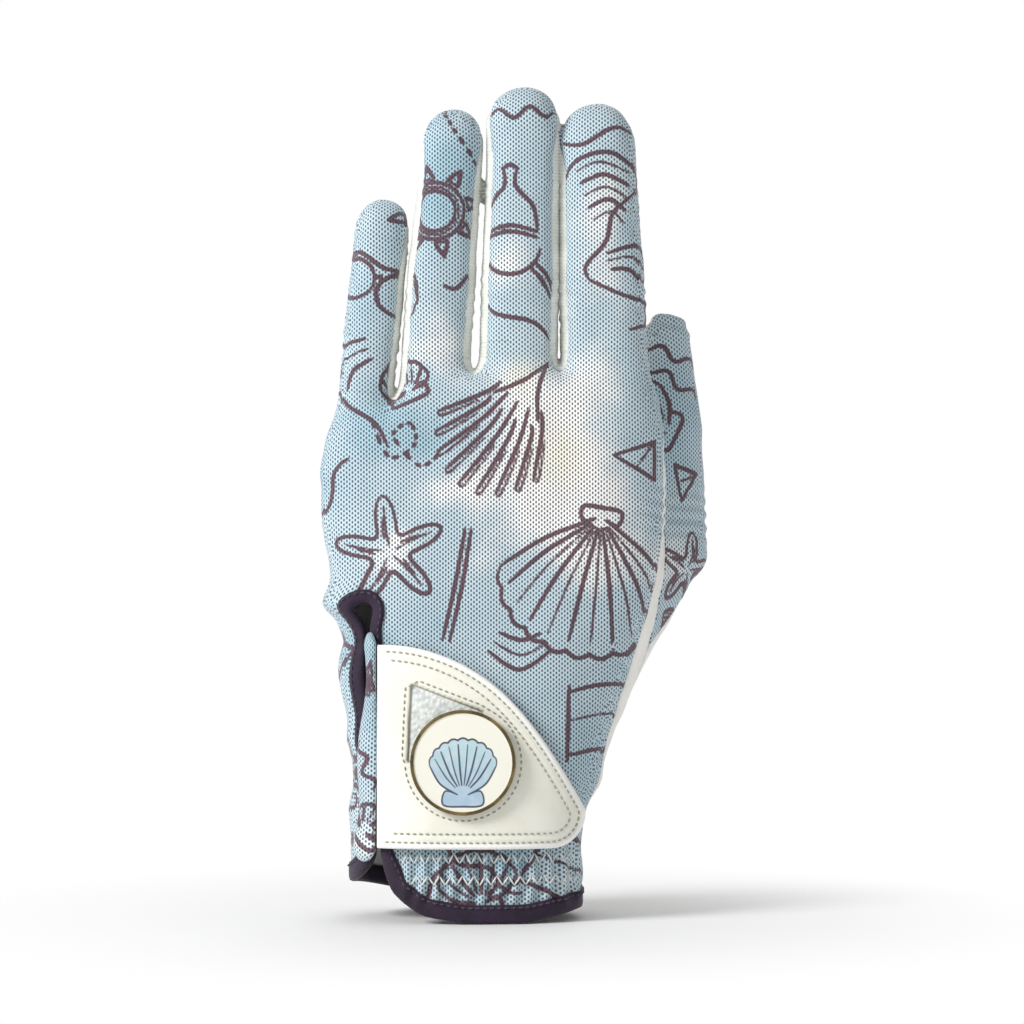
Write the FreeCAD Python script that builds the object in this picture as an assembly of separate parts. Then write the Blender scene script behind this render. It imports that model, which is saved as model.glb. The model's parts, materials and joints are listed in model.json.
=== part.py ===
# Left-hand golf glove in its worn shape, fingers up.
# Frame: +Z runs from the cuff to the fingertips, -Y is the back of the hand, +X is the thumb side.
# The origin is the middle of the cuff mouth, where the wrist goes in. All sizes are in millimetres.

import FreeCAD, Part
import math
import os
from FreeCAD import Matrix, Placement, Vector

# ---------------------------------------------------------------- walls and gaps
wall = 1.1                    # fabric and leather panels
clearance = 0.5               # between pieces of different bodies that lie on each other
seatGap = 0.1                 # under the marker, which a magnet holds down
creaseMargin = 0.7            # each side of a stall's fold, past what the fold itself needs
farAway = 120.0               # reach of the prisms that cut the panels apart

# ---------------------------------------------------------------- the hand
fingerLength = 200.6          # from the cuff mouth to the tip of the middle stall
wristWidth = 55.2
knuckleWidth = 82.4
wristDepth = 36.0
knuckleDepth = 26.0
handRoundness = 2.5           # superellipse power of the cross-sections, where 2 is an ellipse
sectionPoints = 20            # points round each cross-section
# From the cuff mouth to above the webs: height, middle x, how far the width has gone from the wrist's to the
# knuckles', middle y, and the same for the depth.
handShape = [
    (0.0, -0.6, 0.06, 0.0, -0.28),
    (12.0, -0.8, 0.03, 0.0, -0.12),
    (26.0, 0.0, 0.0, 0.0, 0.0),
    (42.0, 1.6, 0.16, 0.2, 0.2),
    (60.0, 3.9, 0.44, 0.5, 0.4),
    (78.0, 6.2, 0.79, 0.5, 0.6),
    (95.0, 5.7, 1.0, 0.3, 0.8),
    (110.0, 6.1, 0.96, 0.0, 1.0),
    (122.0, 6.7, 0.81, 0.0, 1.2),
    (136.0, 6.8, 0.71, 0.0, 1.44),
]
# The webs between the stalls, x and z, from the little finger's side to the index's.
webLine = [(-60.0, 118.0), (-31.0, 119.5), (-22.0, 121.6), (-16.0, 122.4), (-11.0, 129.0), (-2.0, 130.2),
           (20.0, 130.6), (32.0, 129.0), (60.0, 124.0)]

# ---------------------------------------------------------------- the finger stalls
stallStart = 112.0            # height where a stall's axis starts, inside the hand
foldAngle = 75.0              # how far a finger stall bends
coreShare = 0.72              # share of a stall's half width that its back and palm panels cover
fourchetteEnd = 5.0           # how far below the domed tip the side strips stop
# base x, tip point, radius at the base and under the dome, depth over width, height of the fold,
# length of the domed tip, and the sides that have a side strip
stalls = {
    "index": {"base": 33.2, "tip": (30.2, 4.5, 196.6), "radius": (10.9, 8.8), "flat": 0.85,
              "fold": 149.0, "dome": 10.5, "sides": (-1,)},
    "middle": {"base": 11.3, "tip": (13.1, 3.5, fingerLength), "radius": (9.6, 7.9), "flat": 0.95,
               "fold": 151.0, "dome": 10.0, "sides": (-1, 1)},
    "ring": {"base": -9.9, "tip": (-3.5, 4.0, 195.2), "radius": (8.9, 7.2), "flat": 1.0,
             "fold": 148.0, "dome": 9.0, "sides": (-1, 1)},
    "little": {"base": -26.0, "tip": (-19.8, 5.5, 173.6), "radius": (7.1, 6.5), "flat": 1.06,
               "fold": 138.5, "dome": 8.5, "sides": (1,)},
}
# Neighbours, and the height where the strip between them starts below their web.
webPairs = [("little", "ring", 114.0), ("ring", "middle", 122.0), ("middle", "index", 122.0)]

# ---------------------------------------------------------------- the thumb
thumbRoot = Vector(17.0, 4.0, 42.0)
thumbKnuckle = Vector(45.4, 19.0, 88.0)
thumbTip = Vector(47.4, 22.5, 147.6)
thumbRootRadius = 13.0
thumbFlat = 0.94
# Radius at each distance above the knuckle; the last one carries the domed tip.
thumbRadii = [(0.0, 10.1), (20.0, 9.6), (32.0, 8.8), (44.0, 6.8), (52.0, 5.4)]
thumbDome = 7.7
thumbFoldAt = 9.0             # the fold's distance above the knuckle
thumbFoldAngle = 45.0
thumbBackwards = Vector(0.4, -0.92, 0.0)     # the thumb nail's direction, away from its bending
gussetReach = (-1.0, 7.0)     # y of the leather strip on the hand's thumb side
gussetHeight = (20.0, 101.0)

# ---------------------------------------------------------------- cuff, vent and binding
bindingWidth = 3.8            # round the hem
ventBinding = 2.2             # round the vent
bindingThick = 0.6
ventHalfWidth = 1.4
ventTop = (-24.6, 75.0)       # x, z of the keyhole's middle
ventKeyhole = 2.6             # its radius
ventBottom = (-21.2, 16.0)
elasticHeight = (9.0, 15.5)
elasticReach = (-15.0, 25.0)
elasticThick = 0.6
# The hem, x and z, on the back from the little finger's side to the thumb's, then on the palm.
backHem = [(-60.0, 9.0), (-29.0, 9.0), (-24.0, 13.2), (-20.4, 13.2), (-17.6, 7.5), (-11.0, 2.6), (-1.0, 0.9),
           (14.0, 0.9), (28.0, 3.8), (60.0, 3.8)]
palmHem = [(-60.0, 9.0), (-29.0, 9.0), (-12.0, 4.6), (8.0, 3.0), (28.0, 3.8), (60.0, 3.8)]

# ---------------------------------------------------------------- closure tab and ball marker
tabLeft = -21.6
tabBottom = 18.6
# x, z along the top edge and down the free end, from the hinge to above the lower corner.
tabCurve = [(tabLeft, 66.5), (-9.6, 65.2), (4.8, 58.2), (18.0, 43.8), (27.8, 27.5)]
tabCorner = 8.0               # the lower corner of the free end
hookThick = 0.55
liningThick = 0.8
tabThick = 1.1
inlayThick = 0.45
loopThick = 0.6
hookReach = (4.0, 21.0)       # x of the hook patch, under the free end
loopReach = (-8.0, 27.0)
patchHeight = (25.0, 44.0)    # z of both patches
hingeStrip = 6.0              # width of the strip that the tab hangs on
hingeStripThick = 0.8
markerAt = (-1.2, 38.7)       # x, z
markerRadius = 12.4
markerThick = 1.9
markerRim = 0.75
markerFloor = 0.8             # metal under the enamel
markerRecess = 0.25           # enamel below the rim's edge
windowApex = (-13.4, 57.2)
windowGap = 0.6               # window's sides past the marker's edge
windowTuck = 1.5              # window's inner end under the marker's edge
seatRadius = 11.0
seatRise = 0.4                # seat above the leather
seatThick = 2.0
magnetRadius = 7.0
magnetThick = 0.9

# Height, middle x, half width, middle y and half depth of each of the hand's sections.
handSections = [(z, x, (wristWidth + (knuckleWidth - wristWidth) * across) / 2, y,
                 (wristDepth + (knuckleDepth - wristDepth) * through) / 2) for z, x, across, y, through in handShape]
hookLow = loopThick + clearance
liningLow = hookLow + hookThick
leatherLow = liningLow + liningThick
tabOutside = leatherLow + tabThick


# ---------------------------------------------------------------- shapes that everything uses
def superellipse(z, x, halfWide, y, halfDeep):
    points = []
    for i in range(sectionPoints):
        turn = 2 * math.pi * i / sectionPoints
        c, s = math.cos(turn), math.sin(turn)
        reach = (abs(c) ** handRoundness + abs(s) ** handRoundness) ** (-1 / handRoundness)
        points.append(Vector(x + halfWide * reach * c, y + halfDeep * reach * s, z))
    curve = Part.BSplineCurve()
    curve.interpolate(Points=points, PeriodicFlag=True)
    return Part.Wire([curve.toShape()])


def handSolid(grow):
    rings = [superellipse(z, x, wide + grow, y, deep + grow) for z, x, wide, y, deep in handSections]
    return Part.makeLoft(rings, True, False)


def prismXZ(outline, low=-farAway, high=farAway):
    """A straight prism with an outline in x and z, from y = low to y = high."""
    if isinstance(outline, list):
        corners = [Vector(x, low, z) for x, z in outline]
        outline = Part.makePolygon(corners + corners[:1])
    else:
        outline = outline.translated(Vector(0, low, 0))
    return Part.Face(outline).extrude(Vector(0, high - low, 0))


def boxXZ(left, right, low, high, near=-farAway, far=0):
    """A box by its x and z, which without near and far goes through the back only."""
    return Part.makeBox(right - left, far - near, high - low, Vector(left, near, low))


def localFrame(origin, along, side):
    """The placement whose z runs along a stall and whose x is as near to side as it can be."""
    z = Vector(along).normalize()
    y = z.cross(side).normalize()
    x = y.cross(z)
    matrix = Matrix(x.x, y.x, z.x, origin.x, x.y, y.y, z.y, origin.y, x.z, y.z, z.z, origin.z, 0, 0, 0, 1)
    return Placement(matrix)


def turned(radii, dome, flat):
    """A solid of revolution about z through (height, radius) pairs, with a domed end if dome isn't 0."""
    points = [Vector(0, 0, radii[0][0])] + [Vector(0, -r, h) for h, r in radii]
    edges = [Part.LineSegment(a, b).toShape() for a, b in zip(points, points[1:])]
    end = Vector(0, 0, radii[-1][0] + dome)
    if dome:
        edges.append(domeEdge(points[-1], dome, end))
    else:
        edges.append(Part.LineSegment(points[-1], end).toShape())
    edges.append(Part.LineSegment(end, points[0]).toShape())
    solid = Part.Face(Part.Wire(edges)).revolve(Vector(0, 0, 0), Vector(0, 0, 1), 360)
    squeeze = Matrix()
    squeeze.scale(1, flat, 1)
    return solid.transformGeometry(squeeze)


def domeEdge(rim, dome, end):
    """A quarter of an ellipse, from the rim of the wall up to the tip."""
    curve = Part.BSplineCurve()
    poles = [rim, rim + Vector(0, 0, dome), end]
    curve.buildFromPolesMultsKnots(poles, [3, 3], [0, 1], False, 2, [1, math.sqrt(0.5), 1])
    return curve.toShape()


def placed(shape, frame):
    shape.Placement = frame
    return shape


def cutAll(shape, *others):
    for other in others:
        shape = shape.cut(other)
    return shape


def join(shapes):
    return shapes[0].multiFuse(shapes[1:]) if len(shapes) > 1 else shapes[0]


def save(node, shape):
    solids = [s for s in shape.Solids if s.Volume > 0.5]
    shape = solids[0] if len(solids) == 1 else Part.makeCompound(solids)
    shape.exportStep("parts/" + node + ".step")
    box = shape.BoundBox
    print("%-20s %d solid(s) %9.1f mm3  x %6.1f %6.1f  y %6.1f %6.1f  z %6.1f %6.1f  %s" % (
        node, len(solids), shape.Volume, box.XMin, box.XMax, box.YMin, box.YMax, box.ZMin, box.ZMax,
        shape.isValid()))


# ---------------------------------------------------------------- finger stalls
def stallFrame(name):
    start = Vector(stalls[name]["base"], 0, stallStart)
    return localFrame(start, Vector(*stalls[name]["tip"]) - start, Vector(1, 0, 0))


def stallLength(name):
    return (Vector(*stalls[name]["tip"]) - Vector(stalls[name]["base"], 0, stallStart)).Length


def stallRadius(name, along):
    low, high = stalls[name]["radius"]
    return low + (high - low) * along / (stallLength(name) - stalls[name]["dome"])


def foldAlong(name):
    """Distance of the fold along the stall's axis."""
    start = Vector(stalls[name]["base"], 0, stallStart)
    axis = (Vector(*stalls[name]["tip"]) - start).normalize()
    return (stalls[name]["fold"] - stallStart) / axis.z


def foldHalf(name):
    """Half the length of the crease: what the bending needs on the palm's side, and a margin."""
    depth = stallRadius(name, foldAlong(name)) * stalls[name]["flat"]
    return depth * math.tan(math.radians(foldAngle / 2)) + creaseMargin


def stallSolid(name, grow, low, high=None):
    """The stall from low to high along its axis, or to its tip; grow is -wall for its inside."""
    stall = stalls[name]
    top = stallLength(name) - stall["dome"] if high is None else high
    radii = [(d, stallRadius(name, d) + grow) for d in (low, top)]
    dome = stall["dome"] + grow if high is None else 0
    return placed(turned(radii, dome, stall["flat"]), stallFrame(name))


def coreLine(name, side, height):
    """x of a seam between the back or palm panel and a side strip."""
    stall = stalls[name]
    along = height - stallStart
    middle = stall["base"] + (stall["tip"][0] - stall["base"]) * along / (stall["tip"][2] - stallStart)
    return middle + side * coreShare * stallRadius(name, along)


def makeStall(name):
    stall = stalls[name]
    low = foldAlong(name) + foldHalf(name)
    shell = stallSolid(name, 0, low).cut(stallSolid(name, -wall, low - wall))
    bottom, top = stallStart, stall["tip"][2]
    stripTop = top - stall["dome"] - fourchetteEnd
    strips = []
    for side in stall["sides"]:
        far = stall["base"] + side * 2 * stall["radius"][0]
        strips.append(prismXZ([(coreLine(name, side, bottom), bottom), (coreLine(name, side, stripTop), stripTop),
                               (far, stripTop), (far, bottom)]))
    panels = cutAll(shell, *strips)
    half = placed(Part.makeBox(farAway, farAway, farAway, Vector(-farAway / 2, 0, 0)), stallFrame(name))
    save(name + "_palm", panels.common(half))
    save(name + "_back", panels.cut(half))
    save(name + "_side", Part.makeCompound([s for strip in strips for s in shell.common(strip).Solids]))
    start = foldAlong(name) - foldHalf(name)
    ring = stallSolid(name, 0, start, low)
    save(name + "_crease", ring.cut(stallSolid(name, -wall, start - wall, low + wall)))


# ---------------------------------------------------------------- thumb
def thumbFrame():
    along = thumbTip - thumbKnuckle
    return localFrame(thumbKnuckle, along, (-thumbBackwards).cross(along))


def thumbRadius(height):
    for (low, first), (high, second) in zip(thumbRadii, thumbRadii[1:]):
        if height <= high:
            return first + (second - first) * (height - low) / (high - low)


def thumbSolid(grow, low, high=None):
    top = thumbRadii[-1][0] if high is None else high
    radii = [(low, thumbRadius(low) + grow)]
    radii += [(h, r + grow) for h, r in thumbRadii if low < h < top]
    radii.append((top, thumbRadius(top) + grow))
    return placed(turned(radii, thumbDome + grow if high is None else 0, thumbFlat), thumbFrame())


def thumbRootSolid(grow):
    """The thumb from inside the hand to its knuckle, where it ends in a dome that fills the bend."""
    along = thumbKnuckle - thumbRoot
    frame = localFrame(thumbRoot, along, (-thumbBackwards).cross(along))
    knuckle = thumbRadii[0][1] + grow
    return placed(turned([(0, thumbRootRadius + grow), (along.Length, knuckle)], knuckle, thumbFlat), frame)


def thumbFoldHalf():
    depth = thumbRadius(thumbFoldAt) * thumbFlat
    return depth * math.tan(math.radians(thumbFoldAngle / 2)) + creaseMargin


def thumbBackHalf():
    """Everything on the nail's side of the thumb's seams."""
    box = Part.makeBox(2 * farAway, farAway, 2 * farAway, Vector(-farAway, -farAway, -farAway))
    return placed(box, localFrame(thumbKnuckle, Vector(0, 0, 1), (-thumbBackwards).cross(Vector(0, 0, 1))))


def makeThumb(handOutside):
    start, end = thumbFoldAt - thumbFoldHalf(), thumbFoldAt + thumbFoldHalf()
    back = thumbBackHalf()
    shell = thumbSolid(0, end).cut(thumbSolid(-wall, end - wall))
    save("thumb_back", shell.common(back))
    save("thumb_palm", shell.cut(back))
    save("thumb_crease", thumbSolid(0, start, end).cut(thumbSolid(-wall, start - wall, end + wall)))
    base = thumbRootSolid(0).fuse(thumbSolid(0, 0, start))
    below = Part.makeBox(farAway, farAway, 2 * farAway, Vector(-farAway / 2, -farAway / 2, start - 2 * farAway))
    base = base.common(placed(below, thumbFrame()))    # the knuckle's dome stops at the crease
    base = cutAll(base, thumbRootSolid(-wall), thumbSolid(-wall, 0, start + wall), handOutside)
    save("thumb_base_back", base.common(back))
    save("thumb_base_palm", base.cut(back))


# ---------------------------------------------------------------- the hand's panels
def webPrism(drop):
    line = [(x, z - drop) for x, z in webLine]
    return prismXZ(line + [(line[-1][0], -farAway), (line[0][0], -farAway)])


def hemPrism(line, lift):
    line = [(x, z + lift) for x, z in line]
    return prismXZ(line + [(line[-1][0], -farAway), (line[0][0], -farAway)])


def ventPrism(grow):
    """The vent's slit and keyhole, through the back only."""
    half = ventHalfWidth + grow
    (topX, topZ), (lowX, lowZ) = ventTop, ventBottom
    slit = prismXZ([(topX - half, topZ), (topX + half, topZ), (lowX + half, lowZ), (lowX - half, lowZ)], -farAway, 0)
    hole = Part.makeCylinder(ventKeyhole + grow, farAway, Vector(topX, -farAway, topZ), Vector(0, 1, 0))
    return slit.fuse(hole)


def makeHand(handOutside):
    bases = [stallSolid(name, 0, 0, foldAlong(name) - foldHalf(name)) for name in stalls]
    outside = join([handOutside] + bases)
    insides = [stallSolid(name, -wall, 0, foldAlong(name)) for name in stalls]
    insides += [thumbRootSolid(-wall), thumbSolid(-wall, 0, thumbFoldAt)]
    shell = cutAll(outside, handSolid(-wall).common(webPrism(wall)), *insides)
    for first, second, low in webPairs:
        high = stalls[second]["fold"]
        strip = prismXZ([(coreLine(first, 1, low), low), (coreLine(first, 1, high), high),
                         (coreLine(second, -1, high), high), (coreLine(second, -1, low), low)])
        save("web_%s_%s" % (first, second), shell.common(strip))
        shell = shell.cut(strip)
    backSide = boxXZ(-farAway, farAway, -farAway, 2 * farAway)
    strip = boxXZ(0, farAway, *gussetHeight, *gussetReach)
    save("thumb_gusset", shell.common(strip))
    shell = shell.cut(strip)
    save("back_panel", cutAll(shell.common(backSide), hemPrism(backHem, 0), ventPrism(0)))
    save("palm_panel", cutAll(shell, backSide, hemPrism(palmHem, 0)))
    return backSide


def layer(low, high):
    """A skin over the hand, or inside it, between two distances from its outside."""
    return handSolid(high).cut(handSolid(low))


def makeCuff(backSide):
    tape = layer(0, bindingThick)
    hem = cutAll(tape.common(backSide), hemPrism(backHem, 0), ventPrism(0)).common(hemPrism(backHem, bindingWidth))
    palmSide = cutAll(tape, backSide, hemPrism(palmHem, 0)).common(hemPrism(palmHem, bindingWidth))
    save("hem_binding", hem.fuse(palmSide))
    save("vent_binding", cutAll(tape.common(backSide).common(ventPrism(ventBinding)), ventPrism(0),
                                hemPrism(backHem, bindingWidth)))
    save("cuff_elastic", layer(-wall - elasticThick, -wall).common(boxXZ(*elasticReach, *elasticHeight)))


# ---------------------------------------------------------------- closure tab and ball marker
def tabPrism():
    top = Part.BSplineCurve()
    top.interpolate([Vector(x, 0, z) for x, z in tabCurve])
    left, right = tabCurve[0][0], tabCurve[-1][0]
    end = Vector(right - tabCorner, 0, tabBottom)
    slope = tabCorner * (1 - math.sqrt(0.5))
    corner = Part.Arc(Vector(right, 0, tabCurve[-1][1]), Vector(right - slope, 0, tabBottom + slope), end)
    bottom = Part.LineSegment(end, Vector(left, 0, tabBottom))
    hinge = Part.LineSegment(Vector(left, 0, tabBottom), Vector(left, 0, tabCurve[0][1]))
    return prismXZ(Part.Wire([c.toShape() for c in (top, corner, bottom, hinge)]), -farAway, 0)


def backSurface(height):
    """y of the back's crest at a height."""
    for (low, _, _, y1, deep1), (high, _, _, y2, deep2) in zip(handSections, handSections[1:]):
        if height <= high:
            share = (height - low) / (high - low)
            return (y1 - deep1) * (1 - share) + (y2 - deep2) * share


def markerFrame():
    """z points out of the glove's back, and 0 is the top of the marker's seat."""
    x, z = markerAt
    slope = (backSurface(z + markerRadius) - backSurface(z - markerRadius)) / (2 * markerRadius)
    outward = Vector(0, -1, slope).normalize()
    crest = Vector(x, backSurface(z), z)
    return localFrame(crest + outward * (tabOutside + seatRise), outward, Vector(1, 0, 0))


def disc(radius, low, high):
    return placed(Part.makeCylinder(radius, high - low, Vector(0, 0, low)), markerFrame())


def windowPrism():
    """A drop-shaped window: its point, and the two tangents from there to a circle round the marker."""
    apex = Vector(windowApex[0], 0, windowApex[1])
    middle = Vector(markerAt[0], 0, markerAt[1])
    away = apex - middle
    radius = markerRadius + windowGap
    lean = math.acos(radius / away.Length)
    turn = math.atan2(away.z, away.x)
    touches = [(middle.x + radius * math.cos(turn + a), middle.z + radius * math.sin(turn + a)) for a in (lean, -lean)]
    drop = prismXZ([windowApex, touches[0], markerAt, touches[1]], -farAway, 0)
    inner = Part.makeCylinder(markerRadius - windowTuck, farAway, Vector(middle.x, -farAway, middle.z), Vector(0, 1, 0))
    return drop.cut(inner)


def makeTab(backSide):
    outline, window = tabPrism(), windowPrism()
    seat = disc(seatRadius, -seatThick, 0)
    save("tab_leather", cutAll(layer(leatherLow, tabOutside).common(outline), window, seat))
    save("tab_lining", layer(liningLow, leatherLow).common(outline).cut(seat))
    save("window_inlay", layer(leatherLow, leatherLow + inlayThick).common(window).cut(seat))
    save("marker_seat", seat.cut(disc(magnetRadius, -magnetThick, 0)))
    save("marker_magnet", disc(magnetRadius, -magnetThick, 0))
    for node, reach, bottom, top in (("hook_patch", hookReach, hookLow, liningLow),
                                     ("loop_patch", loopReach, 0, loopThick)):
        save(node, layer(bottom, top).common(boxXZ(*reach, *patchHeight)).common(outline))
    strip = boxXZ(tabLeft - hingeStrip, tabLeft - clearance, tabBottom, tabCurve[0][1])
    save("tab_hinge", layer(bindingThick, bindingThick + hingeStripThick).common(strip))


def makeMarker():
    top = seatGap + markerThick
    floor = seatGap + markerFloor
    enamel = markerRadius - markerRim
    save("marker_rim", disc(markerRadius, seatGap, top).cut(disc(enamel, floor, top)))
    save("marker_face", disc(enamel, floor, top - markerRecess))


os.makedirs("parts", exist_ok=True)
handOutside = handSolid(0).common(webPrism(0))
for name in stalls:
    makeStall(name)
makeThumb(handOutside)
backSide = makeHand(handOutside)
makeCuff(backSide)
makeTab(backSide)
makeMarker()
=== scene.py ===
import json
import math

import bmesh
import bpy
import numpy as np
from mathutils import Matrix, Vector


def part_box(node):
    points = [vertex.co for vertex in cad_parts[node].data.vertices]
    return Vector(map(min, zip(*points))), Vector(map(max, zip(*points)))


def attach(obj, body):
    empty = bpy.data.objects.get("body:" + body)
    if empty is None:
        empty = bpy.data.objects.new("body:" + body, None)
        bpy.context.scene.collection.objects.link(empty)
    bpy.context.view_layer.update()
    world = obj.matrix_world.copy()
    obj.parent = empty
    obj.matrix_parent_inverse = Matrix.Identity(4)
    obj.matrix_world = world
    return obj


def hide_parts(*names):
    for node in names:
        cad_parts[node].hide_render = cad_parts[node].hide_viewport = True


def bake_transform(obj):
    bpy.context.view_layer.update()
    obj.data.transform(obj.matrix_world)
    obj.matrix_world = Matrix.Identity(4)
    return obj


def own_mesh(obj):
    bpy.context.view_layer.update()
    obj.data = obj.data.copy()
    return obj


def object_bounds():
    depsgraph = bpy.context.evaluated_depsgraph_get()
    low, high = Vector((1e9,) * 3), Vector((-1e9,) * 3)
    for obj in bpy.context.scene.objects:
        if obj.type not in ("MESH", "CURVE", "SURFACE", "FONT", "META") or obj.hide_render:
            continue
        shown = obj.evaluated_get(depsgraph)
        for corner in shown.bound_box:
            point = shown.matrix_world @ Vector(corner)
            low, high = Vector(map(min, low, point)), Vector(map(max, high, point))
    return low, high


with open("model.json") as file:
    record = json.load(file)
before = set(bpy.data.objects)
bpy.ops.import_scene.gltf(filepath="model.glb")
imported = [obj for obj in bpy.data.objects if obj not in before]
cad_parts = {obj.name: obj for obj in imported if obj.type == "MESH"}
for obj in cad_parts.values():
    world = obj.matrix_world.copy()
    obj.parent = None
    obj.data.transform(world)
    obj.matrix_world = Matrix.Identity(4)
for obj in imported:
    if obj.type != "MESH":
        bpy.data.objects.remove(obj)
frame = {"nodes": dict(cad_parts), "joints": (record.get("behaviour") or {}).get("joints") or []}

import openvdb
from mathutils import Vector

mm = 0.001
cadLow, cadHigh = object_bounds()
joints = {j["name"]: j for j in frame["joints"]}
fingers = ("index", "middle", "ring", "little")


def newObject(name, data):
    obj = bpy.data.objects.new(name, data)
    bpy.context.scene.collection.objects.link(obj)
    return obj


# ---- camera

shot = {
    "distance": 900.0,        # lens to glove, mm, a long lens from far off
    "pictureHeight": 243.0,   # mm of the scene that the picture holds at the glove
    "aimX": 0.4,              # mm from the middle of the glove's box
    "aimZ": -2.7,
    "frontY": -14.0,          # plane where the scale holds
}
middle = (np.array(cadLow) + np.array(cadHigh)) / 2 / mm


def addCamera():
    data = bpy.data.cameras.new("camera")
    data.sensor_width = 36
    data.lens = 36 * shot["distance"] / shot["pictureHeight"]
    camera = newObject("camera", data)
    camera.location = np.array([middle[0] + shot["aimX"], shot["frontY"] - shot["distance"],
                                middle[2] + shot["aimZ"]]) * mm
    camera.rotation_euler = (math.pi / 2, 0, 0)
    bpy.context.scene.camera = camera


addCamera()
print("camera placed")


# ---- reading the frame

# corners of some CAD nodes' triangles, in mm
def trianglesOf(names):
    found = []
    for name in names:
        mesh = frame["nodes"][name].data
        mesh.calc_loop_triangles()
        spots = np.empty(len(mesh.vertices) * 3)
        mesh.vertices.foreach_get("co", spots)
        corners = np.empty(len(mesh.loop_triangles) * 3, int)
        mesh.loop_triangles.foreach_get("vertices", corners)
        found.append(spots.reshape(-1, 3)[corners.reshape(-1, 3)] / mm)
    return np.concatenate(found)


# lowest and highest corner of the outline where triangles cross a height
def sliceBox(triangles, height):
    a, b = triangles, np.roll(triangles, -1, axis=1)
    above, below = a[..., 2] - height, b[..., 2] - height
    crossing = above * below < 0
    share = above[crossing] / (above[crossing] - below[crossing])
    spots = a[crossing] + (b[crossing] - a[crossing]) * share[:, None]
    return spots.min(0), spots.max(0)


def unit(v):
    return np.asarray(v) / np.linalg.norm(v)


# a stall's own frame: origin on its hinge, z along the stall, y towards the palm
def stallFrame(name, nodes):
    joint = joints[name + "_bend"]
    pivot, side = np.array(joint["pos_m"]) / mm, -np.array(joint["axis"])
    triangles = trianglesOf(nodes)
    low, high = sliceBox(triangles, triangles[..., 2].max() - 16)
    along = unit((low + high) / 2 - pivot)
    towards = unit(np.cross(along, side))
    turn = np.array([np.cross(towards, along), towards, along])
    return {"pivot": pivot, "turn": turn}


def toLocal(points, place):
    return (points - place["pivot"]) @ place["turn"].T


# half width and half depth up a stall, and its domed end, all read from the CAD panels
def measureStall(name, nodes, domeShare):
    stall = stallFrame(name, nodes)
    local = toLocal(trianglesOf(nodes), stall)
    top = local[..., 2].max()
    bottom = local[..., 2].min() + 2.0
    width = local[..., 0].max() * 2
    stall["top"] = top
    stall["dome"] = width * domeShare
    heights = np.linspace(bottom, top - stall["dome"], 8)
    boxes = [sliceBox(local, h) for h in heights]
    stall["heights"] = heights
    stall["wide"] = np.array([(high[0] - low[0]) / 2 for low, high in boxes])
    stall["deep"] = np.array([(high[1] - low[1]) / 2 for low, high in boxes])
    return stall


stalls = {n: measureStall(n, [n + "_back", n + "_palm", n + "_side"], 0.56) for n in fingers}
thumb = measureStall("thumb", ["thumb_back", "thumb_palm"], 0.42)
# how much fuller the worn fabric is than the CAD stall, its shift sideways in mm, and its flare at the root
# and towards the tip
fullness = {"index": (1.05, 0.1, 0.09, 0.03), "middle": (1.07, 0.2, 0.06, 0.06), "ring": (1.02, 0.1, 0.05, 0.04),
            "little": (0.97, -0.35, 0.02, 0.0), "thumb": (1.12, 1.3, 0.0, 0.0)}
for n in fullness:
    s = thumb if n == "thumb" else stalls[n]
    wider, shift, s["flare"], s["fuller"] = fullness[n]
    s["wide"] = s["wide"] * wider
    s["pivot"] = s["pivot"] + s["turn"][0] * shift
print("stalls measured")

handShape = {
    "heights": np.append(np.linspace(17.0, 116.0, 15), [122.0, 136.0]),
    "power": 2.5,             # superellipse power of its sections
    "closing": (0.955, 0.93, 0.92, 0.83),   # width and depth of the last two sections over the one before
    "webs": [(-60.0, 118.0), (-31.0, 119.0), (-19.4, 122.6), (-12.0, 128.0), (-0.5, 130.3),
             (21.2, 130.8), (34.0, 129.0), (60.0, 124.0)],
    "webRound": 5.0,
    "stallBlend": 5.5,        # how softly a stall grows out of the hand
    "thumbBlend": 9.0,
}


def measureHand():
    triangles = trianglesOf(["back_panel", "palm_panel", "thumb_gusset", "hem_binding"])
    heights = handShape["heights"]
    boxes = [sliceBox(triangles, h) for h in heights[:-2]]
    rows = [((lo[0] + hi[0]) / 2, (hi[0] - lo[0]) / 2, (lo[1] + hi[1]) / 2, (hi[1] - lo[1]) / 2) for lo, hi in boxes]
    x, wide, y, deep = rows[-1]
    a, b, c, d = handShape["closing"]
    rows += [(x + 0.6, wide * a, y, deep * c), (x + 0.7, wide * b, y, deep * d)]
    return np.array(rows)


handRows = measureHand()
print("hand measured")


# ---- the glove's outside as a distance field, in mm, back of the hand towards -y

hem = {
    # x and z of the cuff's edge on the back, from the little finger's side, then on the palm
    "back": [(-60.0, 9.0), (-29.0, 9.0), (-24.0, 13.2), (-20.4, 13.2), (-17.6, 7.5), (-11.0, 2.6), (-1.0, 0.9),
             (14.0, 0.9), (28.0, 3.8), (60.0, 3.8)],
    "palm": [(-60.0, 9.0), (-29.0, 9.0), (-12.0, 4.6), (8.0, 3.0), (28.0, 3.8), (60.0, 3.8)],
    "ventTop": (-24.6, 75.0),
    "ventBottom": (-21.2, 12.0),
    "ventHalf": 1.3,
    "keyhole": 2.5,
    "lift": 0.6,              # the binding's own thickness below the panels
}
thumbShape = {
    "root": (17.0, 4.0, 42.0),
    "rootRadius": 13.0,
    "knuckleRadius": 10.0,
    "nail": (0.4, -0.92, 0.0),
    "lowest": (38.5, 60.0),   # x, z where the thumb's printed panel ends in a point
}


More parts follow.
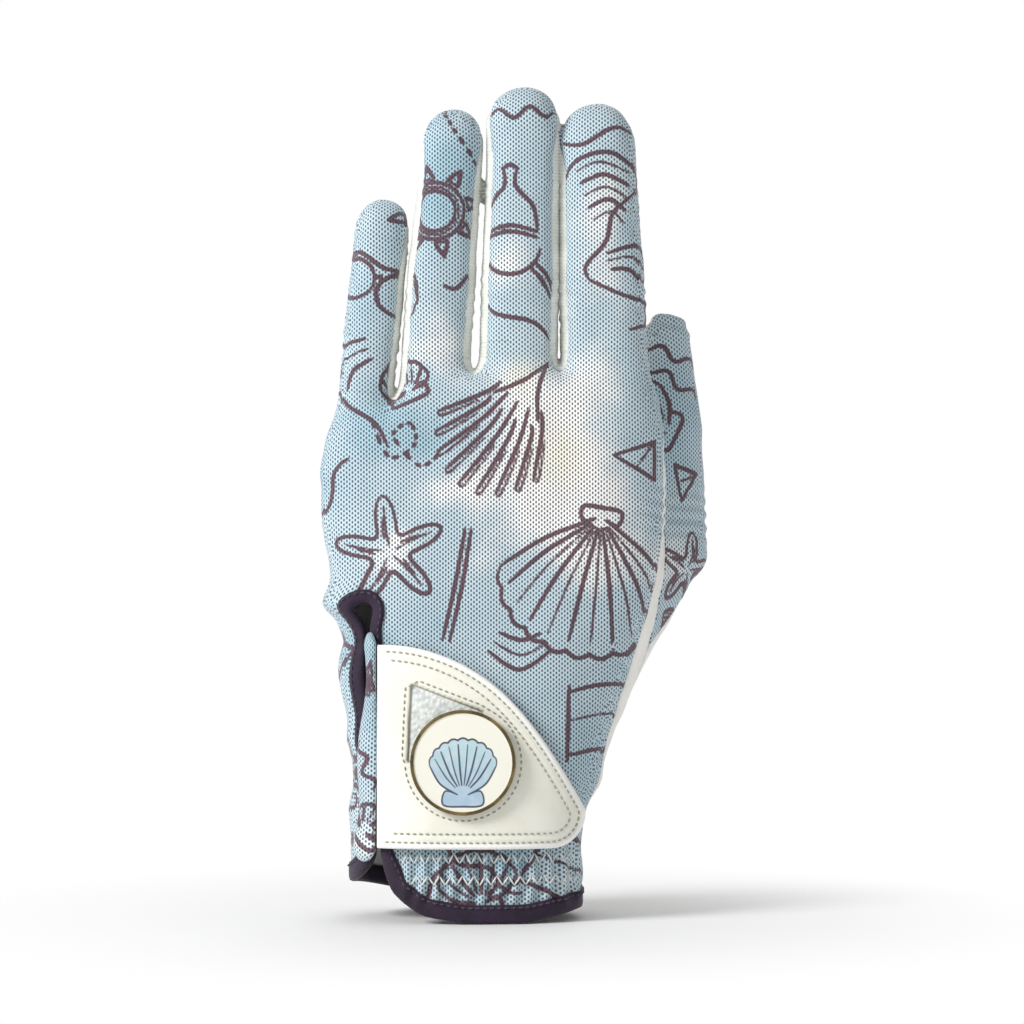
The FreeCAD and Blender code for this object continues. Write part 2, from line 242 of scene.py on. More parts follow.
def ovalDistance(x, y, wide, deep, power, cap=None):
    u, v = np.abs(x / wide), np.abs(y / deep)
    g = (u ** power + v ** power) ** (1 / power) + 1e-6
    slope = np.hypot((u / g) ** (power - 1) / wide, (v / g) ** (power - 1) / deep)
    if cap is None:
        return (g - 1) / slope
    rise, length = cap
    h = np.maximum(rise, 0) / length
    whole = np.hypot(g, h)
    return (whole - 1) / (np.hypot(g * slope, h / length) / whole)


def smoothMin(a, b, k):
    return np.minimum(a, b) - np.maximum(k - np.abs(a - b), 0) ** 2 / (4 * k)


def smoothMax(a, b, k):
    return -smoothMin(-a, -b, k)


def stallDistance(points, stall, power=2.3):
    x, y, z = toLocal(points, stall).T
    flare = 1 + stall["flare"] * np.clip(-z / 20, 0, 1.6)
    knuckle = 1 + 0.02 * np.exp(-((z - 2) / 7) ** 2) - 0.015 * np.exp(-((z - 14) / 8) ** 2)
    wide = np.interp(z, stall["heights"], stall["wide"]) * flare * knuckle
    wide = wide * (1 + stall["fuller"] * np.clip(z / 40, 0, 1))
    deep = np.interp(z, stall["heights"], stall["deep"]) * (1 + 0.5 * (flare - 1)) * knuckle
    return ovalDistance(x, y, wide, deep, power, (z - stall["top"] + stall["dome"], stall["dome"]))


def coneDistance(points, a, b, ra, rb):
    a, b = np.array(a), np.array(b)
    share = np.clip((points - a) @ (b - a) / ((b - a) @ (b - a)), 0, 1)
    return np.linalg.norm(points - a - share[:, None] * (b - a), axis=1) - ra - (rb - ra) * share


thumbKnuckle = thumb["pivot"] - thumb["turn"][2] * 9


def handDistance(points):
    x, y, z = points.T
    rows, heights = handRows, handShape["heights"]
    mx, wide, my, deep = (np.interp(z, heights, rows[:, i]) for i in range(4))
    d = ovalDistance(x - mx, y - my, wide, deep, handShape["power"])
    top = z - np.interp(x, *np.array(handShape["webs"]).T)
    return smoothMax(d, top, handShape["webRound"])


def thumbDistance(points):
    low = coneDistance(points, thumbShape["root"], thumbKnuckle, thumbShape["rootRadius"],
                       thumbShape["knuckleRadius"])
    high = stallDistance(points, thumb, 2.1)
    below = toLocal(points, thumb)[:, 2] + 12
    return smoothMin(low, smoothMax(high, -below, 5.0), 5.0)


# the whole outside, and with it how far each stall is
def gloveDistance(points):
    hand = handDistance(points)
    each = np.array([stallDistance(points, stalls[n]) for n in fingers])
    below = np.array([-6 - toLocal(points, stalls[n])[:, 2] - 26 for n in fingers])
    each = smoothMax(each, below, 3.0)
    joined = smoothMin(hand, each, handShape["stallBlend"]).min(0)
    whole = smoothMin(joined, thumbDistance(points), handShape["thumbBlend"])
    return whole


def slopeOf(points, field, step=0.15):
    sides = [field(points + step * e) - field(points - step * e) for e in np.eye(3)]
    slope = np.array(sides).T / (2 * step)
    return slope / np.maximum(np.linalg.norm(slope, axis=1), 1e-9)[:, None]


def settle(points, field, times=2):
    for _ in range(times):
        points = points - np.clip(field(points), -0.6, 0.6)[:, None] * slopeOf(points, field)
    return points


def meshOf(field, low, high, step):
    axes = [np.arange(a, b, step) for a, b in zip(low, high)]
    spots = np.stack(np.meshgrid(*axes, indexing="ij"), -1).reshape(-1, 3)
    values = np.empty(len(spots))
    for i in range(0, len(spots), 400000):
        values[i:i + 400000] = field(spots[i:i + 400000])
    grid = openvdb.FloatGrid(background=9.0)
    grid.copyFromArray(np.clip(values, -9, 8.9).reshape([len(a) for a in axes]).astype(np.float32))
    points, quads = grid.convertToQuads(isovalue=0.0)
    points = points.astype(float) * step + low
    quads = quads.astype(int)
    faces = np.concatenate([quads[:, (0, 1, 2)], quads[:, (0, 2, 3)]])
    normal = slopeOf(points[faces[:1000, 0]], field)
    a, b, c = (points[faces[:1000, i]] for i in range(3))
    if (np.cross(b - a, c - a) * normal).sum() < 0:
        faces = faces[:, ::-1]
    return settle(points, field), faces


shellStep = 0.95
base, baseFaces = meshOf(gloveDistance, np.array([-41.0, -23.0, -6.0]), np.array([61.0, 33.0, 205.0]), shellStep)
print("outside meshed", len(base), "points", base.min(0).round(1), base.max(0).round(1))


# ---- cutting the outside into panels; a sheet of work is its points, their flat place, and triangles

def sidesOf(faces):
    return np.concatenate([faces[:, (0, 1)], faces[:, (1, 2)], faces[:, (2, 0)]])


# the sides that only one triangle has
def rimOf(faces):
    pairs = sidesOf(faces)
    _, back, counts = np.unique(np.sort(pairs, axis=1), axis=0, return_inverse=True, return_counts=True)
    return pairs[counts[back.reshape(-1)] == 1]


def cutBy(points, faces, field):
    value = np.where(np.abs(field) < 1e-4, 1e-4, field)
    inside = value[faces] > 0
    count = inside.sum(1)
    mixed = (count == 1) | (count == 2)
    tri, flags = faces[mixed], inside[mixed]
    lone = np.where(flags.sum(1) == 1, flags.argmax(1), (~flags).argmax(1))
    rows = np.arange(len(tri))
    a, b, c = tri[rows, lone], tri[rows, (lone + 1) % 3], tri[rows, (lone + 2) % 3]
    pairs = np.sort(np.concatenate([np.stack([a, b], 1), np.stack([a, c], 1)]), axis=1)
    edges, which = np.unique(pairs, axis=0, return_inverse=True)
    share = value[edges[:, 0]] / (value[edges[:, 0]] - value[edges[:, 1]])
    extra = points[edges[:, 0]] + share[:, None] * (points[edges[:, 1]] - points[edges[:, 0]])
    points = np.concatenate([points, extra])
    which = which.reshape(-1) + len(value)
    ab, ac = which[:len(tri)], which[len(tri):]
    tip = np.stack([a, ab, ac], 1)
    rest = np.concatenate([np.stack([ab, b, c], 1), np.stack([ab, c, ac], 1)])
    alone = value[a] > 0
    twice = np.concatenate([alone, alone])
    kept = np.concatenate([faces[count == 3], tip[alone], rest[~twice]])
    other = np.concatenate([faces[count == 0], tip[~alone], rest[twice]])
    return tidySheet(points, kept), tidySheet(points, other)


def tidySheet(points, faces):
    used, faces = np.unique(faces, return_inverse=True)
    points, faces = points[used], faces.reshape(-1, 3)
    # corners that all but touch become one, so no sliver is left
    grid = np.round(points[:, :3] / 0.02).astype(np.int64)
    _, first, back = np.unique(grid, axis=0, return_index=True, return_inverse=True)
    faces = back.reshape(-1)[faces]
    good = (faces[:, 0] != faces[:, 1]) & (faces[:, 1] != faces[:, 2]) & (faces[:, 0] != faces[:, 2])
    return points[first], faces[good]


def largestPart(points, faces):
    label = np.arange(len(points))
    while True:
        low = label[faces].min(1)
        new = label.copy()
        for i in range(3):
            np.minimum.at(new, faces[:, i], low)
        new = new[new]
        if (new == label).all():
            break
        label = new
    names, counts = np.unique(label[faces[:, 0]], return_counts=True)
    return tidySheet(points, faces[label[faces[:, 0]] == names[counts.argmax()]])


def finer(points, faces):
    edges, which = np.unique(np.sort(sidesOf(faces), axis=1), axis=0, return_inverse=True)
    halves = points[edges].mean(1)
    n = len(faces)
    ab, bc, ca = (which.reshape(-1)[i * n:(i + 1) * n] + len(points) for i in range(3))
    a, b, c = faces.T
    new = [np.stack(t, 1) for t in ((a, ab, ca), (ab, b, bc), (ca, bc, c), (ab, bc, ca))]
    return np.concatenate([points, halves]), np.concatenate(new)


def normalsOf(points, faces):
    a, b, c = (points[faces[:, i], :3] for i in range(3))
    flat = np.cross(b - a, c - a)
    total = np.zeros((len(points), 3))
    for i in range(3):
        for k in range(3):
            total[:, k] += np.bincount(faces[:, i], flat[:, k], len(points))
    return total / np.maximum(np.linalg.norm(total, axis=1), 1e-12)[:, None]


# flat places of a curved panel: starts as seen from straight on, then every edge takes its true length
def layFlat(points, faces, start, times):
    a, b = np.unique(np.sort(sidesOf(faces), axis=1), axis=0).T
    length = np.linalg.norm(points[a, :3] - points[b, :3], axis=1)
    flat = start.copy()
    weight = np.bincount(a, minlength=len(points)) + np.bincount(b, minlength=len(points))
    for _ in range(times):
        gap = flat[b] - flat[a]
        now = np.maximum(np.linalg.norm(gap, axis=1), 1e-6)
        push = gap * ((1 - length / now) * 0.5)[:, None]
        for k in range(2):
            move = np.bincount(a, push[:, k], len(points)) - np.bincount(b, push[:, k], len(points))
            flat[:, k] += 1.6 * move / weight
    return flat


# how far inside each kind of panel a point of the outside is, in mm
def stallPlaces(points):
    each = np.array([stallDistance(points, stalls[n]) for n in fingers])
    nearest = each.argmin(0)
    local = np.array([toLocal(points, stalls[n]) for n in fingers])[nearest, np.arange(len(points))]
    return nearest, local


sideStrips = {"index": (-1,), "middle": (-1, 1), "ring": (-1, 1), "little": (1,)}
stripShare = 0.68             # of a stall's half depth, each way from its middle


def stripField(points):
    nearest, local = stallPlaces(points)
    field = np.full(len(points), -3.0)
    for i, name in enumerate(fingers):
        s = stalls[name]
        mine = nearest == i
        x, y, z = local[mine].T
        deep = np.interp(z, s["heights"], s["deep"])
        ends = np.clip((s["top"] - 3.5 - z) / 14, 0, 1) ** 0.5
        here = stripShare * deep * ends - np.abs(y - 0.4)
        keep = np.isin(np.sign(x), sideStrips[name])
        field[mine] = np.where(keep, here, -np.abs(here) - 1)
    web = points[:, 2] - np.interp(points[:, 0], [-60, -19.5, -19, -0.5, 21, 60], [400, 115, 115, 124, 124, 124])
    return np.minimum(field, web)


def backField(points):
    nearest, local = stallPlaces(points)
    x, y, z = points.T
    seam = np.interp(x, [-30, -10, 20, 36], [3.0, 0.5, 0.0, -2.2])
    hand = seam - y
    rise = np.clip((z - 108) / 16, 0, 1)
    return hand * (1 - rise) + (0.5 - local[:, 1]) * rise


# positive on the thumb's own side of the line where it grows out of the hand
def thumbField(points):
    rest = np.array([handDistance(points)] + [stallDistance(points, s) for s in stalls.values()]).min(0)
    x, y, z = points.T
    return np.minimum(rest - thumbDistance(points) - 1.0, np.minimum(x - 20, y + 9))


def thumbPanelField(points):
    nail = unit(thumbShape["nail"])
    share = np.clip((points[:, 2] - thumbShape["lowest"][1]) / 24, -0.2, 1)
    ridge = np.array(thumbShape["root"]) + np.clip((points[:, 2] - 42) / 46, 0, 1)[:, None] * (
        thumbKnuckle - np.array(thumbShape["root"]))
    along = thumb["turn"][2]
    above = thumbKnuckle + along * ((points[:, 2] - thumbKnuckle[2]) / along[2])[:, None]
    axis = np.where((points[:, 2] > thumbKnuckle[2])[:, None], above, ridge)
    return (points - axis) @ nail - (1 - share) * 12 + 0.5


# open where the cuff's edge, the vent's slit and its keyhole cut the panels away
def openField(points):
    x, y, z = points.T
    side = np.clip((y + 4) / 8, 0, 1)
    low = np.interp(x, *np.array(hem["back"]).T) * (1 - side) + np.interp(x, *np.array(hem["palm"]).T) * side
    edge = z - low - hem["lift"]
    (topX, topZ), (lowX, lowZ) = hem["ventTop"], hem["ventBottom"]
    middle = topX + (z - topZ) * (lowX - topX) / (lowZ - topZ)
    slit = np.maximum(np.abs(x - middle) - hem["ventHalf"], z - topZ)
    hole = np.hypot(x - topX, z - topZ) - hem["keyhole"]
    vent = np.where(y < 0, smoothMin(slit, hole, 2.5), 30)
    return smoothMin(edge, vent, 4.0)


# the leather gusset on the thumb's side of the palm, rounded at its corners
def gussetField(points):
    x, y, z = points[:, :3].T
    ends = smoothMin(z - 19, 104 - z, 14.0)
    return smoothMin(smoothMin(x - 18, 8.5 + 0.05 * (z - 60) - y, 8.0), ends, 12.0)


# ---- folds and puckers of the worn fabric, as heights over the smooth outside, in mm

folds = {
    "gatherPitch": 3.7,       # of the elastic's gathers round the back of the cuff
    "gatherDepth": 0.7,
    "gatherFrom": (-15.0, 27.0),
    "flapBulge": 3.4,         # of the loose flap beside the vent's keyhole
    "seamDepth": 0.32,
    "seamWidth": 0.75,
    "creaseDepth": 0.22,      # over a finger's joint
}


def hill(x, at, wide):
    return np.exp(-((x - at) / wide) ** 2)


def step01(x, a, b):
    t = np.clip((x - a) / (b - a), 0, 1)
    return t * t * (3 - 2 * t)


def drift(points, size, seed):
    shuffled = np.random.default_rng(seed)
    total = np.zeros(len(points))
    for _ in range(9):
        way = shuffled.normal(size=3)
        way *= 2 * math.pi / (size * shuffled.uniform(0.7, 1.5)) / np.linalg.norm(way)
        total += np.sin(points[:, :3] @ way + shuffled.uniform(0, 6.28))
    return total / 4.2


def foldHeight(points):
    x, y, z = points.T
    back = step01(-y, -2, 4)
    low, high = folds["gatherFrom"]
    gather = step01(x, low - 4, low + 2) * (1 - step01(x, high - 2, high + 3)) * back
    gather = gather * step01(z, 4.2, 7.5) * (1 - step01(z, 15.5, 23)) * folds["gatherDepth"]
    waved = x + 0.5 * np.sin(z / 2.7) + 0.25 * drift(points, 9, 4)
    total = gather * np.cos(2 * math.pi * waved / folds["gatherPitch"])
    left = step01(-x, 22.5, 28)
    total += folds["flapBulge"] * left * hill(z, 76.5, 4.0) * step01(8 - y, 0, 8)
    total += left * (1.7 * hill(z, 58, 7) + 0.9 * hill(z, 44, 4) + 1.1 * hill(z, 26, 6) - 0.9 * hill(z, 67, 2.6))
    total += 1.3 * hill(x, 31, 2) * hill(z, 31, 8)
    underTab = back * step01(x, -22, -16) * (1 - step01(x, 24, 29)) * step01(z, 17, 22) * (1 - step01(z, 46, 62))
    total += (0.28 * drift(points * (1, 1, 0.6), 19, 1) + 0.1 * drift(points, 7, 2)) * (1 - 0.9 * underTab)
    near = hill(x, -22, 12) * hill(z, 50, 34) * (1 - underTab)
    total += 0.3 * near * drift(points * (0.5, 0.5, 1.2), 8, 3)
    nearest, local = stallPlaces(points)
    along = local[:, 2]
    crease = folds["creaseDepth"] * hill(along, 0, 6.5) * np.sin(2 * math.pi * along / 3.3 + 0.4 * local[:, 0])
    crease += 0.7 * folds["creaseDepth"] * hill(along, 24, 4.5) * np.sin(2 * math.pi * along / 3.0 + 0.5 * local[:, 0])
    total += crease * np.where(local[:, 1] > 0, 1.7, 0.8) * step01(z, 118, 124)
    fold = toLocal(points, thumb)
    onThumb = step01(x, 38, 44)
    total += onThumb * 0.3 * hill(fold[:, 2], 0, 6) * np.sin(2 * math.pi * fold[:, 2] / 3.4)
    return total


def seamPucker(points, fields):
    away = np.min([np.abs(f) for f in fields], axis=0)
    width = folds["seamWidth"]
    return folds["seamDepth"] * (0.45 * hill(away, 2.2 * width, width) - hill(away, 0, width)) * (
        1 + 0.25 * np.sin(points[:, 2] * 2.6 + points[:, 0]))


def raised(points, thumbSide=False):
    spots = points[:, :3]
    if thumbSide:
        fields = [thumbPanelField(spots)]
    else:
        palmSeam = np.where(spots[:, 1] > 1.5, gussetField(spots), 9)
        fields = [stripField(spots), backField(spots), thumbField(spots), palmSeam]
    height = foldHeight(spots) + seamPucker(spots, fields)
    return spots + height[:, None] * slopeOf(spots, gloveDistance)


def giveValues(mesh, attributes, flat=None):
    for key, values in attributes.items():
        kind, field = ("FLOAT", "value") if values.ndim == 1 else ("FLOAT_VECTOR", "vector")
        mesh.attributes.new(key, kind, "POINT").data.foreach_set(field, values.ravel())
    if flat is not None:
        corners = np.empty(len(mesh.loops), int)
        mesh.loops.foreach_get("vertex_index", corners)
        mesh.uv_layers.new(name="flatPlace").data.foreach_set("uv", flat[corners].ravel())


# a panel with a thickness, closed round its edges
def makePanel(name, points, faces, thick, material, replaces, attributes={}, uv=None, normals=None):
    normals = normalsOf(points, faces) if normals is None else normals
    n = len(points)
    a, b = rimOf(faces).T
    walls = np.concatenate([np.stack([b, a, a + n], 1), np.stack([b, a + n, b + n], 1)])
    every = np.concatenate([faces, faces[:, ::-1] + n, walls])
    both = np.concatenate([points, points - thick * normals])
    mesh = bpy.data.meshes.new(name)
    mesh.vertices.add(2 * n)
    mesh.vertices.foreach_set("co", (both * mm).ravel())
    mesh.loops.add(3 * len(every))
    mesh.loops.foreach_set("vertex_index", every.ravel())
    mesh.polygons.add(len(every))
    mesh.polygons.foreach_set("loop_start", np.arange(0, 3 * len(every), 3))
    mesh.update(calc_edges=True)
    mesh.validate()
    mesh.shade_smooth()
    doubled = {key: np.concatenate([values, values]) for key, values in attributes.items()}
    giveValues(mesh, doubled, None if uv is None else np.concatenate([uv, uv]))
    mesh.materials.append(material)
    obj = newObject(name, mesh)
    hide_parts(*replaces)
    return obj


# ---- materials

def colour(text):
    parts = [int(text[i:i + 2], 16) / 255 for i in (1, 3, 5)]
    return [p / 12.92 if p <= 0.04045 else ((p + 0.055) / 1.055) ** 2.4 for p in parts] + [1.0]


# a node with its settings, and what goes into its live inputs, in order or by name: values or other nodes' outputs
def add(tree, kind, settings={}, *inputs, **named):
    node = tree.nodes.new(kind)
    for key, value in settings.items():
        if hasattr(node, key):
            setattr(node, key, value)
        else:
            node.inputs[key].default_value = value
    live = [socket for socket in node.inputs if socket.enabled][:len(inputs)]
    live += [node.inputs[key.replace("_", " ")] for key in named]
    for socket, value in zip(live, [*inputs, *named.values()]):
        if isinstance(value, bpy.types.NodeSocket):
            tree.links.new(socket, value)
        else:
            socket.default_value = value
    return next((socket for socket in node.outputs if socket.enabled), None)


mathNode, mixNode, rangeNode, noiseNode = ("ShaderNode" + word for word in ("Math", "Mix", "MapRange", "TexNoise"))
plus, less, times, toPower, sine, cosine = ({"operation": word} for word in (
    "ADD", "SUBTRACT", "MULTIPLY", "POWER", "SINE", "COSINE"))
colours, eased = {"data_type": "RGBA"}, {"interpolation_type": "SMOOTHSTEP"}


# a material with its principled shader, and where a point lies on its object
def newMaterial(name, settings):
    material = bpy.data.materials.new(name)
    material.use_nodes = True
    tree = material.node_tree
    shader = tree.nodes["Principled BSDF"]
    for key, value in settings.items():
        shader.inputs[key].default_value = value
    return material, tree, shader, add(tree, "ShaderNodeTexCoord").node.outputs["Object"]


# colours laid one over the last, each by a share: as sRGB text, or another node's output
def layered(tree, body, *layers):
    body = colour(body) if isinstance(body, str) else body
    for share, over in layers:
        body = add(tree, mixNode, colours, share, body, colour(over) if isinstance(over, str) else over)
    return body


# links what colours a material and what raises it
def finishWith(tree, shader, body, height, strength, depth):
    tree.links.new(shader.inputs["Base Color"], body)
    bump = add(tree, "ShaderNodeBump", {"Strength": strength, "Distance": depth}, Height=height)
    tree.links.new(shader.inputs["Normal"], bump)


# crossed ribs of a weave, or the ribs alone where there is no pitch across
def weaveOf(tree, place, pitch, across=None):
    parts = add(tree, "ShaderNodeSeparateXYZ", {}, place).node.outputs
    rib = add(tree, mathNode, sine, add(tree, mathNode, times, parts[2], 2 * math.pi / pitch))
    if across is None:
        return rib
    cross = add(tree, mathNode, sine, add(tree, mathNode, times, parts[0], 2 * math.pi / across))
    return add(tree, mathNode, times, rib, cross)


meshCloth = {
    "holePitch": (1.34, 1.08),     # mm across and along, with a hole in the middle of every four
    # white and cream also serve as painted highlight, and shade as painted shade
    "blue": "#c3d7e1", "white": "#fbfbfa", "cream": "#fbf2ce", "shade": "#a6c6d4",
    "hole": "#1f2a35", "ink": "#6a333e", "inkDeep": "#472234",
}


# a number painted on a piece's points
def paintedOn(tree, *keys):
    return [add(tree, "ShaderNodeAttribute", {"attribute_name": key}).node.outputs["Fac"] for key in keys]


# printed polyester power mesh, warp knitted with rows of small holes and heat-printed: soft, matt, faintly sheened; its
# holes are painted dark as the shade of the glove's inside, and its pale and darker clouds are partly painted highlight
# and shade
def makePrintedMesh():
    material, tree, shader, place = newMaterial("printed_power_mesh", {
        "Roughness": 0.72, "Specular IOR Level": 0.3, "Sheen Weight": 0.25, "Sheen Roughness": 0.5})
    flat = add(tree, "ShaderNodeUVMap", {"uv_map": "flatPlace"})
    parts = add(tree, "ShaderNodeSeparateXYZ", {}, flat).node.outputs
    across, along = (2 * math.pi / pitch for pitch in meshCloth["holePitch"])

    # how far a noise is above its middle, times a size
    def swayed(perMillimetre, detail, size):
        noise = add(tree, noiseNode, {}, flat, perMillimetre, detail)
        return add(tree, mathNode, times, add(tree, mathNode, less, noise, 0.5), size)

    wobble = swayed(0.35, 2.0, 1.1)
    u = add(tree, mathNode, cosine, add(tree, mathNode, times, parts[0], across))
    rows = add(tree, mathNode, plus, add(tree, mathNode, times, parts[1], along), wobble)
    v = add(tree, mathNode, cosine, rows)
    lattice = add(tree, mathNode, plus, add(tree, mathNode, times, add(tree, mathNode, times, u, u), 0.6),
                  add(tree, mathNode, times, add(tree, mathNode, times, u, v), 0.5))
    hole = add(tree, rangeNode, eased, lattice, 0.28, 0.62)
    ink, cloudAndPaintedLight, creamAndHighlightShare = paintedOn(tree, "ink", "cloudAndPaintedLight", "creamAndHighlight")
    ragged = add(tree, mathNode, plus, ink, swayed(1.1, 2.0, 0.5))
    stroke = add(tree, rangeNode, eased, ragged, 0.16, -0.16)
    washAndPaintedLight = add(tree, mathNode, plus, cloudAndPaintedLight, swayed(0.09, 4.0, 0.9))
    tone = layered(tree, meshCloth["ink"], (add(tree, noiseNode, {}, flat, 0.2, 2.0), meshCloth["inkDeep"]))
    # white and cream here carry painted highlight as well as the print's clouds, and the darker shade blue carries
    # painted shade
    body = layered(tree, meshCloth["blue"], (add(tree, rangeNode, eased, washAndPaintedLight, 0.25, 0.95), meshCloth["white"]),
                   (add(tree, rangeNode, eased, washAndPaintedLight, 0.12, -0.45), meshCloth["shade"]),
                   (add(tree, rangeNode, eased, creamAndHighlightShare, 0.15, 1.0, 0.0, 0.85), meshCloth["cream"]),
                   (add(tree, mathNode, times, stroke, 0.92), tone),
                   # the holes are painted near-black as the shade of the glove's inside seen through them
                   (add(tree, mathNode, times, hole, 0.86), meshCloth["hole"]))
    fibres = add(tree, mathNode, times, add(tree, noiseNode, {}, place, 5200, 2.0), 0.25)
    height = add(tree, mathNode, plus, add(tree, mathNode, times, hole, -1.0), fibres)
    finishWith(tree, shader, body, height, 0.6, 0.00022)
    return material


# pores of a leather's grain, as distances from their edges
def poresOf(tree, place, perMetre):
    return add(tree, "ShaderNodeTexVoronoi", {"feature": "DISTANCE_TO_EDGE"}, place, perMetre)


# white cabretta leather, tanned very soft and glazed: fine pores, faint creases, a low soft gloss
def makeGloveLeather():
    material, tree, shader, place = newMaterial("white_cabretta_leather", {
        "Roughness": 0.5, "Specular IOR Level": 0.4, "Sheen Weight": 0.05})
    pores = poresOf(tree, place, 1300.0)
    broad = add(tree, noiseNode, {}, place, 130, 5.0, 0.6)
    creases = add(tree, noiseNode, {}, place, 420, 4.0, 0.6)
    body = layered(tree, "#f0eee8", (add(tree, rangeNode, eased, broad, 0.35, 0.7), "#f6f5f1"),
                   (add(tree, rangeNode, eased, pores, 0.06, 0.0, 0.0, 0.25), "#c9c4b8"))
    rough = add(tree, rangeNode, eased, creases, 0.3, 0.7, 0.42, 0.58)
    tree.links.new(shader.inputs["Roughness"], rough)
    grain = add(tree, mathNode, times, add(tree, rangeNode, eased, pores, 0.0, 0.12), 0.5)
    finishWith(tree, shader, body, add(tree, mathNode, plus, grain, creases), 0.5, 0.0002)
    return material


# a finish whose one grain both tints it from its first colour to its second and raises or sinks it
def makeGrained(name, settings, grain, reach, first, second, way, strength, depth):
    material, tree, shader, place = newMaterial(name, settings)
    kind, options, *values = grain
    grains = add(tree, kind, options, place, *values)
    body = layered(tree, first, (add(tree, rangeNode, eased, grains, *reach), second))
    finishWith(tree, shader, body, add(tree, mathNode, times, grains, way), strength, depth)
    return material


# a knit or weave of ribs, over a ground that clouds a little from one colour to another
def makeRibbed(name, settings, ribs, cloudiness, ground, clouded, rib, ribShare, strength, depth=0.00012):
    material, tree, shader, place = newMaterial(name, settings)
    weave = weaveOf(tree, place, *ribs)
    patchy = add(tree, rangeNode, eased, add(tree, noiseNode, {}, place, cloudiness, 3.0), 0.3, 0.7)
    body = layered(tree, ground, (patchy, clouded), (add(tree, rangeNode, eased, weave, *ribShare), rib))
    finishWith(tree, shader, body, weave, strength, depth)
    return material


# white elastane side strips, a smooth two-way knit: off-white with very fine ribs
def makeSideKnit():
    return makeRibbed("white_elastane_knit", {"Roughness": 0.65, "Specular IOR Level": 0.3, "Sheen Weight": 0.2},
                      (0.0008,), 200, "#dcded6", "#eceee8", "#bfc3bd", (0.2, 1.0, 0.0, 0.25), 0.35)


printedMesh, gloveLeather, sideKnit = makePrintedMesh(), makeGloveLeather(), makeSideKnit()
print("cloth materials made")


# ---- panels cut from the outside

cloth = {"printedThick": 0.9, "leatherThick": 0.9, "stripThick": 0.7, "zoneStart": -12.5, "zoneEnd": 13.0,
         "leastWidth": 0.0101}
sheet = largestPart(*cutBy(base, baseFaces, openField(base))[0])
thumbSheet, handSheet = cutBy(*sheet, thumbField(sheet[0]))
thumbSheet = largestPart(*thumbSheet)
thumbNail, thumbPad = cutBy(*thumbSheet, thumbPanelField(thumbSheet[0]))
stripSheet, coverSheet = cutBy(*handSheet, stripField(handSheet[0]))
backSheet, palmSheet = cutBy(*coverSheet, backField(coverSheet[0]))
backSheet, palmSheet = largestPart(*backSheet), largestPart(*palmSheet)
print("panels cut")


def withFlat(sheet, start):
    points, faces = sheet
    return np.hstack([points, layFlat(points, faces, start, 220)]), faces


backSheet = withFlat(backSheet, backSheet[0][:, (0, 2)])
nailSide = unit(np.cross((0, 0, 1), thumbShape["nail"]))
thumbNail = withFlat(thumbNail, np.stack([thumbNail[0] @ -nailSide + 90, thumbNail[0][:, 2]], 1))
print("printed panels laid flat", backSheet[0][:, 3].min().round(1), backSheet[0][:, 3].max().round(1))


def zoneField(points):
    return stallPlaces(points)[1][:, 2] - cloth["zoneStart"]


# parts of a panel on the hand and on each finger
def byBody(sheet):
    points, faces = sheet
    upper, lower = cutBy(points, faces, zoneField(points[:, :3]))
    pieces = {"hand": lower}
    points, faces = upper
    owner = stallPlaces(points[faces].mean(1)[:, :3])[0]
    for i, name in enumerate(fingers):
        if (owner == i).any():
            pieces[name] = tidySheet(points, faces[owner == i])
    return pieces


# ---- the print: brush-drawn beach things, each a set of strokes in mm about its own middle

pen = {"wide": 1.15, "fine": 0.7}


# how far points are from a straight piece, and the share of it that they are beside
def fromPiece(flat, a, b):
    way = b - a
    share = np.clip((flat - a) @ way / max(way @ way, 1e-12), 0, 1)
    return np.hypot(*(flat - a - share[:, None] * way).T), share


# how far points are outside a drawn line, negative on its ink
def strokeDistance(flat, line, width):
    line = np.asarray(line, float)
    best = np.full(len(flat), 9.0)
    low, high = line.min(0) - 3, line.max(0) + 3
    near = np.flatnonzero(((flat > low) & (flat < high)).all(1))
    if not len(near):
        return best
    found = np.full(len(near), 9.0)
    for i, (a, b) in enumerate(zip(line[:-1], line[1:])):
        away, share = fromPiece(flat[near], a, b)
        brush = width * (0.62 + 0.38 * np.sin(math.pi * (i + share) / (len(line) - 1)) ** 0.7) / 2
        found = np.minimum(found, away - brush)
    best[near] = found
    return best


# a smooth line through a few given points
def curve(*spots, steps=7):
    p = np.array([spots[0], *spots, spots[-1]], float)
    t = np.linspace(0, 1, steps, endpoint=False)[:, None]
    out = []
    for i in range(1, len(p) - 2):
        a, b, c, d = p[i - 1], p[i], p[i + 1], p[i + 2]
        square, cube = 2 * a - 5 * b + 4 * c - d, 3 * b - a - 3 * c + d
        out.append(0.5 * (2 * b + (c - a) * t + square * t ** 2 + cube * t ** 3))
    return np.concatenate(out + [p[-1:]])


def ring(radius, start=0, end=360, squash=1.0, middle=(0, 0)):
    turn = np.radians(np.linspace(start, end, 26))
    return np.stack([middle[0] + radius * np.cos(turn), middle[1] + radius * squash * np.sin(turn)], 1)


def starfish(radius):
    lines = []
    turn = np.radians(np.linspace(90, 450, 101))
    lobe = np.cos(2.5 * (turn - math.radians(90))) ** 2
    reach = radius * (0.36 + 0.64 * lobe ** 1.7)
    lines.append((np.stack([reach * np.cos(turn), reach * np.sin(turn)], 1), "wide"))
    for i in range(5):
        a = math.radians(90 + 72 * i)
        way = np.array([math.cos(a), math.sin(a)])
        side = np.array([-way[1], way[0]])
        lines.append((curve(way * 0.1 * radius, way * 0.45 * radius + side * 0.3, way * 0.82 * radius), "fine"))
        lines.append((curve(way * 0.25 * radius + side * 1.1, way * 0.6 * radius + side * 0.7), "fine"))
    return lines


